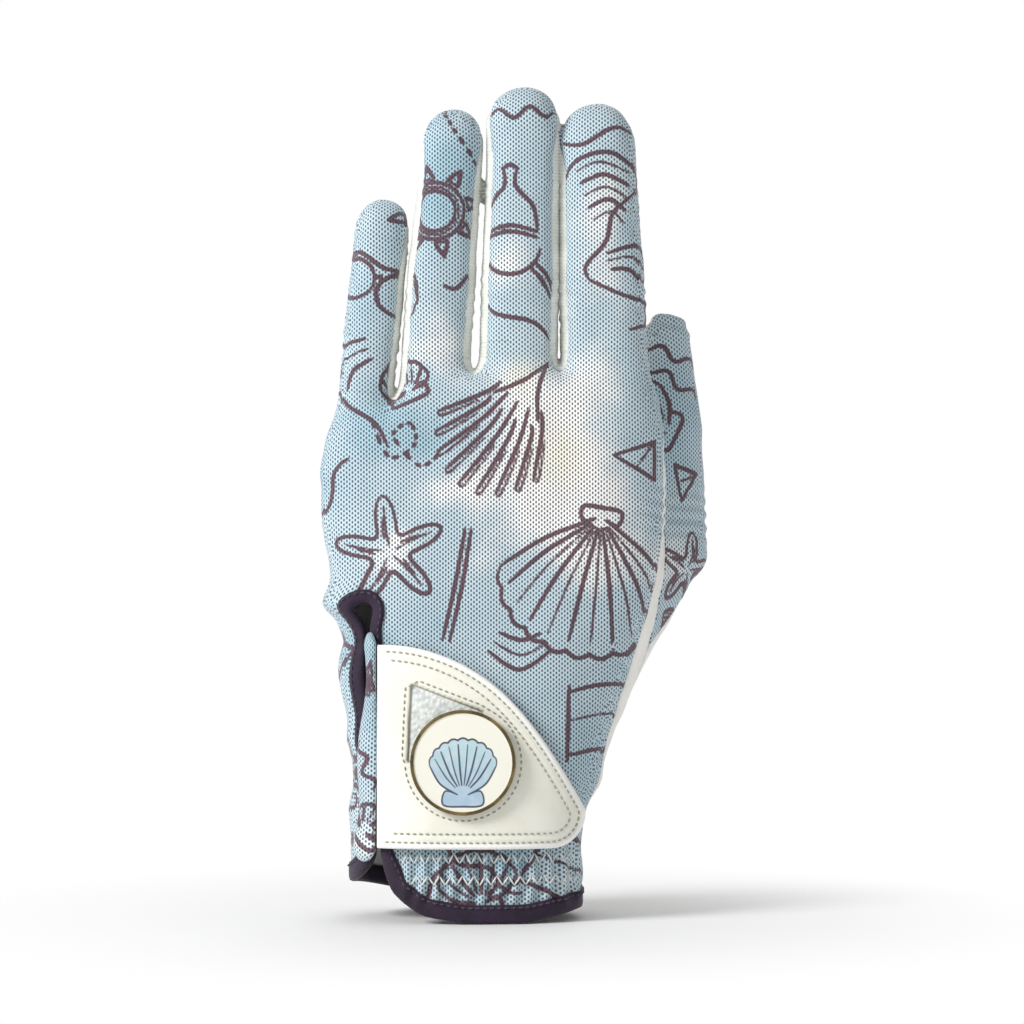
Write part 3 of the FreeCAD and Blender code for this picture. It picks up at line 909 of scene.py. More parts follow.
# a scallop with its hinge at the origin, opening upwards
def scallop(radius, ribs, spread=125):
    lines = []
    angles = np.radians(np.linspace(90 - spread / 2, 90 + spread / 2, 8 * ribs + 1))
    edge = radius * (1 + 0.035 * np.abs(np.sin(np.linspace(0, math.pi * ribs, len(angles))))) * (
        1 - 0.2 * np.abs((angles - math.pi / 2) / math.radians(spread / 2)) ** 2.5)
    lines.append((np.stack([edge * np.cos(angles), edge * np.sin(angles)], 1), "wide"))
    for a, far in ((angles[0], edge[0]), (angles[-1], edge[-1])):
        bend = 1.0 if math.cos(a) > 0 else -1.0
        tip = np.array([far * math.cos(a), far * math.sin(a)])
        lines.append((curve((bend * 1.2, 0.8), tip * 0.5 + (bend * 1.4, -0.5), tip), "wide"))
    for i in range(1, ribs):
        a = angles[8 * i]
        far = edge[8 * i] * 0.93
        bow = 0.06 * radius * math.cos(a)
        lines.append((curve((3.0 * math.cos(a), 3.0 * math.sin(a)),
                            (0.55 * far * math.cos(a) + bow, 0.55 * far * math.sin(a)),
                            (far * math.cos(a), far * math.sin(a))), "wide" if i % 2 else "fine"))
    hinge = curve((-1.2, 0.8), (-4.2, 1.6), (-4.6, -1.6), (0, -2.0), (4.6, -1.6), (4.2, 1.6), (1.2, 0.8))
    lines.append((hinge, "wide"))
    return lines


def sun(radius):
    lines = [(ring(radius * 0.42), "wide"), (ring(radius * 0.6), "wide"), (ring(radius * 0.5), "fine")]
    for i in range(8):
        a = math.radians(12 + 45 * i)
        tip = np.array([math.cos(a), math.sin(a)]) * radius
        for side in (-0.2, 0.2):
            foot = np.array([math.cos(a + side), math.sin(a + side)]) * radius * 0.68
            lines.append((np.array([foot, tip]), "wide"))
        lines.append((ring(radius * 0.68, math.degrees(a - 0.2), math.degrees(a + 0.2)), "fine"))
    return lines


def conch(size):
    outline = [((-9, 4), (-5, 9), (2, 10.5), (8, 6), (7, 2)), ((7, 2), (2.5, -2), (1, -8), (-3, -13), (-2.5, -16)),
               ((-2.5, -16), (4, -19), (9, -21), (10, -25), (6, -26.5))]
    lines = [(curve(*np.array(part) * size / 20), "wide") for part in outline]
    for i in range(5):
        z = 8 - 2.6 * i
        whorl = curve((-5 + 0.8 * i, z - 1.2), (0.5 * i, z + 0.6), (6 - 0.3 * i, z - 1.8))
        lines.append((whorl * size / 20, "wide" if i % 2 else "fine"))
    return lines


def leafFan(size, leaves, spread):
    lines = [(curve((0, 0), (-0.05 * size, -0.2 * size), (-0.16 * size, -0.38 * size)), "wide"),
             (curve((0, 0), (0.07 * size, -0.2 * size), (0.18 * size, -0.36 * size)), "wide")]
    for i in range(leaves):
        a = math.radians(-90 - spread / 2 + spread * i / (leaves - 1))
        far = size * (0.75 + 0.25 * math.sin(math.pi * (i + 0.5) / leaves))
        way, side = np.array([math.cos(a), math.sin(a)]), np.array([-math.sin(a), math.cos(a)])
        lines.append((curve(way * (0.34 + 0.1 * (i % 2)) * size, way * 0.6 * far + side * 0.7, way * far), "wide"))
        lines.append((curve(way * far, way * 0.98 * far + side * 1.3, way * 0.66 * far + side * 1.7), "fine"))
    return lines


def glasses(size):
    s = size / 10
    bridge, top = ((-1, 1.5), (0, 2.3), (1, 1.5)), ((-9, 2), (-6, 5.4), (0, 4.2), (6, 5.4), (9, 2))
    return [(ring(4.4 * s, 0, 360, 0.95, (side * s, 0)), "wide") for side in (-4.9, 4.9)] + [
        (curve(*np.array(part) * s), "wide") for part in (bridge, top)]


def bottle(size):
    s = size / 20
    lines = [((-1.6, 9), (-1.4, 5), (-5.5, 0), (-6, -6)), ((1.6, 9), (1.4, 5), (5.5, 0), (6.4, -6)),
             ((-2, 9.2), (0, 10.2), (2, 9.2)), ((-6, -6), (0, -4.4), (6.4, -6)), ((-6, -7.4), (0, -5.9), (6.4, -7.4))]
    return [(curve(*np.array(part) * s), "wide") for part in lines] + [
        (ring(7.2 * s, 185, 350, 1.0, (0, -9 * s)), "wide")]


def wave(size, humps):
    x = np.linspace(-size / 2, size / 2, 12 * humps)
    return [(np.stack([x, 1.3 * np.sin(2 * math.pi * humps * x / size)], 1), "wide")]


def dashes(line):
    return [(line[i:i + 4], "wide") for i in range(0, len(line) - 4, 6)]


def kite(size):
    s = size / 10
    return [(np.array([(-5, 0), (4, 4.5), (5.5, -4), (-5, 0)]) * s, "wide"),
            (np.array([(4, 4.5), (0.5, -1.8)]) * s, "fine")]


def flag(size):
    s = size / 10
    top, middle, foot = ((-5, 4), (0, 5), (6, 4.6)), ((-5, -0.5), (0, 0.2), (6, 0)), ((-5.2, -6), (0, -5.4), (5, -5.6))
    return [(curve(*np.array(part) * s), kind) for part, kind in ((top, "wide"), (middle, "fine"), (foot, "wide"))] + [
        (np.array([(-5, 5), (-5.4, -7)]) * s, "wide")]


def curveSet(size):
    lines = [(((-4, -3), (-2, 3), (4, 4)), "wide"), (((-2.6, -3.6), (-0.6, 1), (4.4, 2.2)), "fine"),
             (((-0.8, -4), (1, -1), (4.6, 0.4)), "wide")]
    return [(curve(*np.array(part) * size / 10), kind) for part, kind in lines]


def straw(length):
    return [(curve((-0.8, -length / 2), (0.3, 0), (0.8, length / 2)), "wide"),
            (curve((0.9, -length / 2), (2.0, 0), (2.3, length / 2)), "wide")]


# motif, where its middle is seen on the worn back (x, z in mm), and how it is turned
trail = curve((-7, 5), (-3, -3), (3, 0), (2, 5), (-2, 2), (4, -5), (9, -2), steps=16)
printPlan = [
    (starfish(13.4), (-18.5, 88.8), 8), (scallop(33.0, 11, 108), (31.5, 97.5), 170),
    (leafFan(36.0, 9, 58), (19.0, 133.5), -36), (sun(11.5), (-8.0, 170.5), 0), (conch(23.0), (32.0, 172.0), 0),
    (bottle(20.0), (10.0, 171.0), 0), (glasses(11.5), (-22.0, 152.5), -24),
    (scallop(8.0, 6, 130), (-14.5, 126.0), 20), (dashes(trail), (-16.0, 114.5), 0),
    (straw(27.0), (-3.5, 81.0), -8), (flag(15.0), (31.5, 50.0), 0), (kite(10.5), (39.5, 111.0), -10),
    (wave(15.0, 2), (12.5, 194.5), 0), (wave(17.0, 1), (31.0, 188.5), 8), (wave(26.0, 2), (1.0, 14.0), -30),
    (wave(20.0, 1), (11.0, 145.0), -30), (straw(9.0), (17.5, 153.0), 46), (wave(9.0, 1), (-1.5, 153.0), 10),
    (scallop(13.0, 7, 120), (3.0, 5.0), 10), (scallop(11.0, 6, 120), (-31.0, 62.0), 70),
    (starfish(7.5), (-30.5, 38.0), 0),
    (wave(18.0, 2), (-28.0, 22.0), 80), (wave(22.0, 1), (-26.0, 122.0), -50), (curveSet(14.0), (-30.0, 133.0), 10),
    (wave(16.0, 1), (-32.5, 104.0), 60),
    (dashes(curve((0, 8), (3, 2), (8, -6), steps=20)), (-6.0, 187.0), 0), (curveSet(12.0), (39.0, 158.0), -60),
    (flag(13.0), (22.0, 14.0), -30), (wave(14.0, 1), (-9.0, 9.0), 50), (curveSet(14.0), (12.5, 66.0), 140),
]
thumbPlan = [
    (starfish(9.5), (53.0, 84.0), 12), (scallop(14.0, 7, 110), (48.5, 118.0), -60), (wave(16.0, 2), (50.0, 130.0), 35),
    (wave(16.0, 2), (49.0, 137.0), 25), (kite(8.0), (52.5, 105.0), 100), (conch(9.0), (47.0, 70.0), 30),
]
# soft pale patches, partly the print's clouding and partly painted highlight: x, z, half width, half height, strength,
# all seen on the worn back
paleCloudsAndHighlight = [
    (18, 112, 16, 26, 1.1), (34, 92, 12, 16, 0.7), (-18, 88, 10, 10, 0.7), (12, 156, 8, 14, 0.7),
    (33, 165, 8, 22, 0.7), (-10, 104, 12, 6, 0.5), (-8, 140, 7, 10, 0.5), (0, 90, 6, 20, 0.35), (12, 196, 8, 5, 0.5),
    (0, 62, 16, 8, 0.4), (-22, 20, 8, 10, 0.5), (20, 10, 14, 7, 0.4), (52, 86, 8, 12, 0.4), (-6, 130, 10, 8, 0.4),
    (32, 130, 8, 8, 0.45), (-30, 45, 5, 14, 0.6),
]
# cream patches, partly the print's clouding and partly painted highlight, same columns
creamCloudsAndHighlight = [
    (22, 111, 10, 12, 0.55), (16, 132, 10, 4, 0.3), (34, 176, 6, 9, 0.35), (12, 128, 5, 8, 0.3), (33, 196, 7, 4, 0.3),
    (6, 108, 7, 9, 0.2),
]
# darker blue patches, partly the print's clouding and partly painted shade, same columns
coolCloudsAndShade = [
    (-8, 175, 8, 12, 0.5), (-14, 116, 14, 12, 0.45), (-4, 74, 12, 8, 0.35), (50, 118, 8, 16, 0.3),
    (10, 148, 8, 6, 0.4), (-26, 60, 6, 20, 0.45), (4, 14, 16, 8, 0.4),
]


# the distance to the nearest drawn line of some placed motifs
def inkOf(flat, placed):
    ink = np.full(len(flat), 9.0)
    for lines, spot, turn in placed:
        c, s = math.cos(math.radians(turn)), math.sin(math.radians(turn))
        for line, kind in lines:
            laid = np.asarray(line) @ np.array([[c, s], [-s, c]]) + spot
            ink = np.minimum(ink, strokeDistance(flat, laid, pen[kind]))
    return ink


def printOn(sheet, fine, plan):
    front = sheet[0][normalsOf(*sheet)[:, 1] < 0.3]
    placed = []
    for lines, (x, z), turn in plan:
        nearest = np.hypot(front[:, 0] - x, front[:, 2] - z).argmin()
        placed.append((lines, front[nearest, 3:5], turn))
    return np.clip(inkOf(fine[:, 3:5], placed), -2, 3)


def patches(points, clouds):
    total = np.zeros(len(points))
    for x, z, wide, high, strength in clouds:
        total += strength * np.exp(-((points[:, 0] - x) / wide) ** 2 - ((points[:, 2] - z) / high) ** 2)
    return total


def makePrinted(name, whole, sheet, plan, replaces, thumbSide=False):
    points, faces = finer(*sheet)
    spots = settle(points[:, :3], gloveDistance, 1)
    points = np.hstack([spots, points[:, 3:]])
    ink = printOn(whole, points, plan)
    # pale patches add painted highlight to the print's clouds, the cool ones painted shade
    cloudAndPaintedLight = patches(spots, paleCloudsAndHighlight) - patches(spots, coolCloudsAndShade) + 0.12 * drift(spots, 22, 8)
    values = {"ink": ink, "cloudAndPaintedLight": cloudAndPaintedLight, "creamAndHighlight": patches(spots, creamCloudsAndHighlight)}
    obj = makePanel(name, raised(points, thumbSide), faces, cloth["printedThick"], printedMesh, replaces,
                    values, points[:, 3:5])
    return obj


def makePlain(name, sheet, material, thick, replaces, thumbSide=False):
    points, faces = sheet
    obj = makePanel(name, raised(points, thumbSide), faces, thick, material, replaces)
    return obj


def bendWith(obj):
    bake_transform(obj)


pieces = {}
backParts, palmParts, stripParts = byBody(backSheet), byBody(palmSheet), byBody(stripSheet)
for name in fingers:
    pieces[name + "_back"] = makePrinted(name + "_printed_back", backSheet, backParts[name], printPlan,
                                         [name + "_back", name + "_crease"])
    pieces[name + "_palm"] = makePlain(name + "_leather_front", palmParts[name], gloveLeather, cloth["leatherThick"],
                                       [name + "_palm"])
    pieces[name + "_side"] = makePlain(name + "_side_strip", stripParts[name], sideKnit, cloth["stripThick"],
                                       [name + "_side"])
    for part in ("_back", "_palm", "_side"):
        bendWith(pieces[name + part])
print("finger panels sewn")
handBack = makePrinted("printed_back_panel", backSheet, backParts["hand"], printPlan, ["back_panel"])
gussetSheet, palmOnly = cutBy(*palmParts["hand"], gussetField(palmParts["hand"][0]))
handPalm = makePlain("leather_palm_panel", largestPart(*palmOnly), gloveLeather, cloth["leatherThick"], ["palm_panel"])
handGusset = makePlain("leather_thumb_gusset", gussetSheet, gloveLeather, cloth["leatherThick"], ["thumb_gusset"])
handWebs = makePlain("finger_web_strips", stripParts["hand"], sideKnit, cloth["stripThick"],
                     ["web_little_ring", "web_ring_middle", "web_middle_index"])
for obj in (handBack, handPalm, handGusset, handWebs):
    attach(obj, "hand")
thumbBack = makePrinted("thumb_printed_back", thumbNail, thumbNail, thumbPlan,
                        ["thumb_back", "thumb_base_back", "thumb_crease"], True)
thumbFront = makePlain("thumb_leather_front", thumbPad, gloveLeather, cloth["leatherThick"],
                       ["thumb_palm", "thumb_base_palm"], True)
bendWith(thumbBack)
bendWith(thumbFront)
print("hand and thumb panels sewn")


# ---- stitches, laid by one Geometry Nodes tree on points that carry their direction

thread = {"length": 1.05, "thick": 0.34, "pitch": 1.55, "jitter": 0.06, "seed": 4}


def makeStitchTree():
    tree = bpy.data.node_groups.new("sewing_stitches", "GeometryNodeTree")
    for name, kind in (("Points", "NodeSocketGeometry"), ("Stitch Length", "NodeSocketFloat"),
                       ("Thread Radius", "NodeSocketFloat"), ("Jitter", "NodeSocketFloat"), ("Seed", "NodeSocketInt"),
                       ("Thread", "NodeSocketMaterial")):
        tree.interface.new_socket(name, in_out="INPUT", socket_type=kind)
    tree.interface.new_socket("Stitches", in_out="OUTPUT", socket_type="NodeSocketGeometry")
    given = add(tree, "NodeGroupInput").node.outputs
    half = add(tree, mathNode, times, given["Stitch Length"], 0.5)
    ends = [add(tree, "ShaderNodeCombineXYZ", {}, X=value) for value in (add(tree, mathNode, times, half, -1.0), half)]
    line = add(tree, "GeometryNodeCurvePrimitiveLine", {}, Start=ends[0], End=ends[1])
    short = add(tree, "GeometryNodeResampleCurve", {"Count": 6}, Curve=line)
    share = add(tree, "GeometryNodeSplineParameter")
    arch = add(tree, mathNode, sine, add(tree, mathNode, times, share, math.pi))
    lift = add(tree, "ShaderNodeCombineXYZ", {}, Z=add(tree, mathNode, times, arch, given["Thread Radius"]))
    bowed = add(tree, "GeometryNodeSetPosition", {}, Geometry=short, Offset=lift)
    swelling = add(tree, mathNode, plus, add(tree, mathNode, toPower, arch, 0.5), 0.25)
    radius = add(tree, mathNode, times, given["Thread Radius"], swelling)
    thick = add(tree, "GeometryNodeSetCurveRadius", {}, Curve=bowed, Radius=radius)
    rim = add(tree, "GeometryNodeCurvePrimitiveCircle", {"Resolution": 6, "Radius": 1.0})
    body = add(tree, "GeometryNodeCurveToMesh", {"Fill Caps": True}, Curve=thick, Profile_Curve=rim, Scale=radius)
    smooth = add(tree, "GeometryNodeSetShadeSmooth", {}, Geometry=body)
    along = add(tree, "GeometryNodeInputNamedAttribute", {"data_type": "FLOAT_VECTOR", "Name": "along"})
    out = add(tree, "GeometryNodeInputNamedAttribute", {"data_type": "FLOAT_VECTOR", "Name": "outward"})
    turn = add(tree, "FunctionNodeAxesToRotation", {"primary_axis": "Z", "secondary_axis": "X"}, Primary_Axis=out,
               Secondary_Axis=along)
    least = add(tree, mathNode, times, given["Jitter"], -1.0)
    shake = add(tree, "FunctionNodeRandomValue", {"data_type": "FLOAT"}, least, given["Jitter"], Seed=given["Seed"])
    twist = add(tree, "FunctionNodeEulerToRotation", {}, Euler=add(tree, "ShaderNodeCombineXYZ", {}, Z=shake))
    rotate = add(tree, "FunctionNodeRotateRotation", {"rotation_space": "LOCAL"}, turn, twist)
    laid = add(tree, "GeometryNodeInstanceOnPoints", {}, Points=given["Points"], Instance=smooth,
               Rotation=rotate)
    real = add(tree, "GeometryNodeRealizeInstances", {}, Geometry=laid)
    done = add(tree, "GeometryNodeSetMaterial", {}, Geometry=real, Material=given["Thread"])
    add(tree, "NodeGroupOutput", {}, Stitches=done)
    return tree


stitchTree = makeStitchTree()


def unitRows(v):
    return v / np.maximum(np.linalg.norm(v, axis=1), 1e-9)[:, None]


# length along a path up to each of its points
def runOf(path):
    return np.concatenate([[0], np.cumsum(np.linalg.norm(np.diff(path, axis=0), axis=1))])


def valuesAt(at, run, rows):
    return np.stack([np.interp(at, run, column) for column in rows.T], 1)


# middles, directions and outward ways of stitches along a path, in mm
def stitchesOn(path, outward, pitch):
    run = runOf(path)
    at = np.arange(pitch / 2, run[-1], pitch)
    way = valuesAt(at + 0.2, run, path) - valuesAt(at - 0.2, run, path)
    return valuesAt(at, run, path), unitRows(way), unitRows(valuesAt(at, run, outward))


def makeStitches(name, rows, material, length, radius, body):
    where, along, out = (np.concatenate([r[i] for r in rows]) for i in range(3))
    mesh = bpy.data.meshes.new(name + "_points")
    mesh.from_pydata((where * mm).tolist(), [], [])
    giveValues(mesh, {"along": along, "outward": out})
    points = newObject(name + "_points", mesh)
    modifier = points.modifiers.new("stitches", "NODES")
    modifier.node_group = stitchTree
    values = {"Stitch Length": length * mm, "Thread Radius": radius * mm, "Jitter": thread["jitter"],
              "Seed": thread["seed"], "Thread": material}
    for item in stitchTree.interface.items_tree:
        if item.name in values:
            modifier[item.identifier] = values[item.name]
    made = bpy.data.meshes.new_from_object(points.evaluated_get(bpy.context.evaluated_depsgraph_get()))
    made.name = name
    bpy.data.objects.remove(points)
    obj = newObject(name, made)
    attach(obj, body)
    print(name, len(where), "stitches,", len(made.polygons), "faces")
    return obj


# spun polyester sewing thread: matt, slightly hairy
def makeThread(name, text):
    look = {"Roughness": 0.7, "Sheen Weight": 0.2, "Specular IOR Level": 0.3}
    return makeGrained(name, look, (noiseNode, {}, 6000, 2.0), (0.3, 0.7, 0, 0.3), text, "#8d8a80", 1, 0.4, 0.0001)


# the tab's thread is darkened to grey as painted shade of the grooves it lies in
whiteThread, tabThreadShaded = makeThread("white_sewing_thread", "#eef0ee"), makeThread("tab_thread_painted_shade", "#a9aa9b")
plumThread = makeThread("plum_sewing_thread", "#3c2446")


# ---- edge binding: woven tape folded over the cuff's edge and round the vent

binding = {"hemWidth": 3.7, "ventWidth": 2.5, "thick": 0.62, "step": 1.1}


def edgeLoop(points, faces):
    following = dict(rimOf(faces).tolist())
    loops = []
    while following:
        start = next(iter(following))
        loop = [start]
        here = following.pop(start)
        while here != start and here in following:
            loop.append(here)
            here = following.pop(here)
        loops.append(points[loop])
    return sorted(loops, key=len, reverse=True)


def evenLoop(loop, step, closed=True, smooth=2):
    path = np.vstack([loop, loop[:1]]) if closed else loop
    run = runOf(path)
    even = valuesAt(np.linspace(0, run[-1], int(run[-1] / step), endpoint=not closed), run, path)
    for _ in range(smooth):
        if closed:
            even = 0.5 * even + 0.25 * (np.roll(even, 1, 0) + np.roll(even, -1, 0))
        else:
            even[1:-1] = 0.5 * even[1:-1] + 0.25 * (even[2:] + even[:-2])
    return even


# a closed ring of cross-sections, each a closed outline, made into a mesh
def makeSweep(name, sections, closed=True):
    count, across = sections.shape[:2]
    grid = np.arange(count * across).reshape(count, across)
    ahead = np.roll(grid, -1, 0) if closed else grid[1:]
    here = grid if closed else grid[:-1]
    a, b, c, d = here, np.roll(here, -1, 1), np.roll(ahead, -1, 1), ahead
    faces = np.stack([a, b, c, d], -1).reshape(-1, 4).tolist()
    if not closed:
        faces += [grid[0][::-1].tolist(), grid[-1].tolist()]
    mesh = bpy.data.meshes.new(name)
    mesh.from_pydata((sections.reshape(-1, 3) * mm).tolist(), [], faces)
    work = bmesh.new()
    work.from_mesh(mesh)
    bmesh.ops.recalc_face_normals(work, faces=work.faces)
    work.to_mesh(mesh)
    work.free()
    mesh.shade_smooth()
    return newObject(name, mesh)


# woven dark plum binding tape: tight cross weave, faint sheen
def makeTapeCloth():
    return makeRibbed("plum_binding_tape", {"Roughness": 0.62, "Specular IOR Level": 0.35, "Sheen Weight": 0.12},
                      (0.0007, 0.0007), 300, "#1a0d21", "#2a1733", "#45304d", (0.0, 1.0, 0.0, 0.35), 0.5)


tapeCloth = makeTapeCloth()
edgePath = evenLoop(edgeLoop(*sheet)[0], binding["step"], smooth=3)
edgeNormal = slopeOf(edgePath, gloveDistance)
edgeAlong = unitRows(np.roll(edgePath, -1, 0) - np.roll(edgePath, 1, 0))
edgeOut = unitRows(np.cross(edgeAlong, edgeNormal))
opening = openField(edgePath + edgeOut) - openField(edgePath - edgeOut)
edgeOut = edgeOut * np.where(opening > 0, -1, 1)[:, None]
onVent = (edgePath[:, 1] < -2) & (edgePath[:, 2] > 16)
tapeWidth = np.where(onVent, binding["ventWidth"], binding["hemWidth"])
for _ in range(6):
    tapeWidth = 0.5 * tapeWidth + 0.25 * (np.roll(tapeWidth, 1) + np.roll(tapeWidth, -1))


def tapeSections():
    t = binding["thick"]
    outline = [(-1.0, 0.06), (-1.0, t), (-0.5, t + 0.08), (-0.08, t + 0.05), (0.12, 0.75 * t), (0.18, -0.1),
               (0.17, -0.9), (0.05, -1.35), (-0.12, -1.5), (-0.6, -1.5), (-1.0, -1.45), (-1.0, -1.0), (-0.5, -0.98),
               (-0.02, -0.9), (0.0, -0.4), (-0.04, 0.02), (-0.5, 0.05)]
    sections = []
    for across, height in outline:
        reach = np.where(across > 0, across * 4.0, across * tapeWidth)
        spots = edgePath + edgeOut * reach[:, None]
        away = slopeOf(spots, gloveDistance)
        target = foldHeight(spots) + height
        sections.append(spots + (target - gloveDistance(spots))[:, None] * away)
    return np.stack(sections, 1)


bindingTape = makeSweep("edge_binding", tapeSections())
bindingTape.data.materials.append(tapeCloth)
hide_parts("hem_binding", "vent_binding")
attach(bindingTape, "hand")


def overPanel(spots, lift):
    away = slopeOf(spots, gloveDistance)
    return spots + (foldHeight(spots) + lift - gloveDistance(spots))[:, None] * away, away


topStitch = []
spots, away = overPanel(edgePath - edgeOut * (tapeWidth - 0.7)[:, None], binding["thick"] + 0.1)
topStitch.append(stitchesOn(spots, away, 1.7))


def onBack(x, z, height):
    spots = np.stack([x, np.full(len(x), -22.0), z], 1)
    for _ in range(14):
        d = handDistance(spots)
        step = spots + (0, 0.1, 0)
        rate = (handDistance(step) - d) / 0.1
        spots[:, 1] -= (d - height) / np.minimum(rate, -0.3)
    return spots


# one row of zigzag over the gathered cuff
def zigzag(z, high, pitch, low, far):
    x = np.arange(low, far, pitch / 2)
    spots = onBack(x, z + high / 2 * np.where(np.arange(len(x)) % 2, 1, -1), 0)
    spots, away = overPanel(spots, 0.42)
    middles = (spots[1:] + spots[:-1]) / 2
    return middles, unitRows(spots[1:] - spots[:-1]), unitRows(away[1:] + away[:-1])


makeStitches("binding_stitches", topStitch, plumThread, 1.15, 0.16, "hand")
cuffRows = [zigzag(16.2, 2.4, 2.7, -15.5, 26.5), zigzag(11.0, 2.2, 2.7, -13.5, 26.5)]
makeStitches("cuff_zigzag_stitches", cuffRows, whiteThread, 2.7, 0.17, "hand")
print("binding folded")


# ---- closure tab: smooth leather over the CAD's lining and patches

tab = {
    "top": 3.55,              # outside of the leather over the hand, mm
    "under": 2.5,
    "step": 0.5,
    "rows": (1.55, 3.6),      # stitch rows in from the edge
    "windowRow": 1.5,         # stitch row outside the window and the marker
    "rowLift": 0.02,
}


def mergedNode(name):
    corners = trianglesOf([name])
    flat = corners.reshape(-1, 3)
    _, first, back = np.unique(np.round(flat, 3), axis=0, return_index=True, return_inverse=True)
    return flat[first], back.reshape(-1, 3)


# edges of the part of a CAD node that faces the back of the hand: its outline, then its holes
def frontLoops(name, facing=-0.3):
    points, faces = mergedNode(name)
    a, b, c = (points[faces[:, i]] for i in range(3))
    flat = np.cross(b - a, c - a)
    front = flat[:, 1] < facing * np.linalg.norm(flat, axis=1)
    outer = front & (a[:, 1] < 0)
    deepest = onBack(points[:, 0], points[:, 2], (tab["top"] + tab["under"]) / 2)[:, 1]
    outer &= (points[faces].mean(1)[:, 1] < deepest[faces].mean(1))
    return edgeLoop(points, faces[outer])


def lineDistance(flat, line):
    return np.min([fromPiece(flat, a, b)[0] for a, b in zip(line[:-1], line[1:])], axis=0)


def insideDistance(flat, loop):
    best = lineDistance(flat, np.vstack([loop, loop[:1]]))
    inside = np.zeros(len(flat), bool)
    for a, b in zip(loop, np.roll(loop, -1, 0)):
        crosses = (a[1] > flat[:, 1]) != (b[1] > flat[:, 1])
        with np.errstate(divide="ignore", invalid="ignore"):
            at = a[0] + (flat[:, 1] - a[1]) * (b - a)[0] / (b - a)[1]
        inside ^= crosses & (flat[:, 0] < at)
    return np.where(inside, best, -best)


loops = [loop[:, (0, 2)] for loop in frontLoops("tab_leather")]
loops.sort(key=lambda loop: -np.ptp(loop[:, 0]))
outline = evenLoop(loops[0], 0.6, smooth=0)
hole = evenLoop(next(loop for loop in loops[1:] if len(loop) > 8), 0.5, smooth=0)
print("tab outline read")
hingeX = outline[:, 0].min()
openEdge = outline[outline[:, 0] > hingeX + 0.4]      # all of the edge but the hinge side
startAt = np.argmax(np.linalg.norm(np.diff(np.vstack([openEdge, openEdge[:1]]), axis=0), axis=1)) + 1
openEdge = np.roll(openEdge, -startAt, 0)


# smooth calf tab leather, die cut, with a heavier off-white gloss, a paler pressed rim, and painted grey shade along
# its window's cut edge
def makeTabLeather():
    material, tree, shader, place = newMaterial("off_white_tab_leather", {
        "Roughness": 0.42, "Specular IOR Level": 0.42, "Coat Weight": 0.06, "Coat Roughness": 0.3})
    rim, windowEdgeShade = paintedOn(tree, "rim", "windowEdgeShade")
    broad = add(tree, noiseNode, {}, place, 90, 4.0, 0.55)
    # the last layer is painted shade along the window's cut edge
    body = layered(tree, "#eeeddf", (add(tree, rangeNode, eased, broad, 0.35, 0.7), "#f6f5ea"),
                   (add(tree, mathNode, times, rim, 0.9), "#fbfbf8"), (windowEdgeShade, "#a3a08c"))
    grain = add(tree, mathNode, times, add(tree, rangeNode, eased, poresOf(tree, place, 1700.0), 0.0, 0.12), 0.35)
    height = add(tree, mathNode, plus, grain, add(tree, noiseNode, {}, place, 700, 4.0))
    finishWith(tree, shader, body, height, 0.22, 0.00015)
    return material


def makeTab():
    step = tab["step"]
    x = np.arange(outline[:, 0].min() - step, outline[:, 0].max() + 2 * step, step)
    z = np.arange(outline[:, 1].min() - step, outline[:, 1].max() + 2 * step, step)
    gx, gz = np.meshgrid(x, z, indexing="ij")
    points = np.stack([gx.ravel(), np.zeros(gx.size), gz.ravel()], 1)
    grid = np.arange(gx.size).reshape(gx.shape)
    a, b, c, d = (g.ravel() for g in (grid[:-1, :-1], grid[1:, :-1], grid[1:, 1:], grid[:-1, 1:]))
    faces = np.concatenate([np.stack([a, b, c], 1), np.stack([a, c, d], 1)])
    points, faces = cutBy(points, faces, insideDistance(points[:, (0, 2)], outline))[0]
    points, faces = cutBy(points, faces, -insideDistance(points[:, (0, 2)], hole))[0]
    flat = points[:, (0, 2)]
    edge, free = insideDistance(flat, outline), lineDistance(flat, openEdge)
    inner = -insideDistance(flat, hole)
    near = np.minimum(edge, inner)
    height = tab["top"] - 0.42 * (1 - np.clip(near / 0.55, 0, 1)) ** 2
    height += 0.16 * (1 - step01(free, 0.95, 1.35)) + 0.1 * hill(free, 2.6, 0.55)
    for row in tab["rows"]:
        height -= 0.16 * hill(free, row, 0.3)
    height += 0.1 * drift(np.stack([flat[:, 0], 0 * edge, flat[:, 1]], 1), 24, 6) * step01(free, 3, 9)
    top = onBack(flat[:, 0], flat[:, 1], height)
    bottom = onBack(flat[:, 0], flat[:, 1], tab["under"])
    # the grey along the window's edge is painted shade
    obj = makePanel("tab_leather_cover", top, faces, 1.0, makeTabLeather(), ["tab_leather"],
                    {"rim": 1 - step01(free, 1.15, 1.5), "windowEdgeShade": 1 - step01(inner, 0.3, 0.55)}, normals=top - bottom)
    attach(obj, "tab")


makeTab()
print("tab cut and pressed")


def offsetLine(line, inward, shape, sign=1):
    even = evenLoop(line, 0.4, closed=False, smooth=6)
    way = np.gradient(even, axis=0)
    side = unitRows(np.stack([-way[:, 1], way[:, 0]], 1))
    if insideDistance(even + 0.5 * side, shape).mean() < 0:
        side = -side
    moved = even + sign * side * inward
    keep = np.abs(sign * insideDistance(moved, shape)) > inward - 0.12
    return moved[keep]


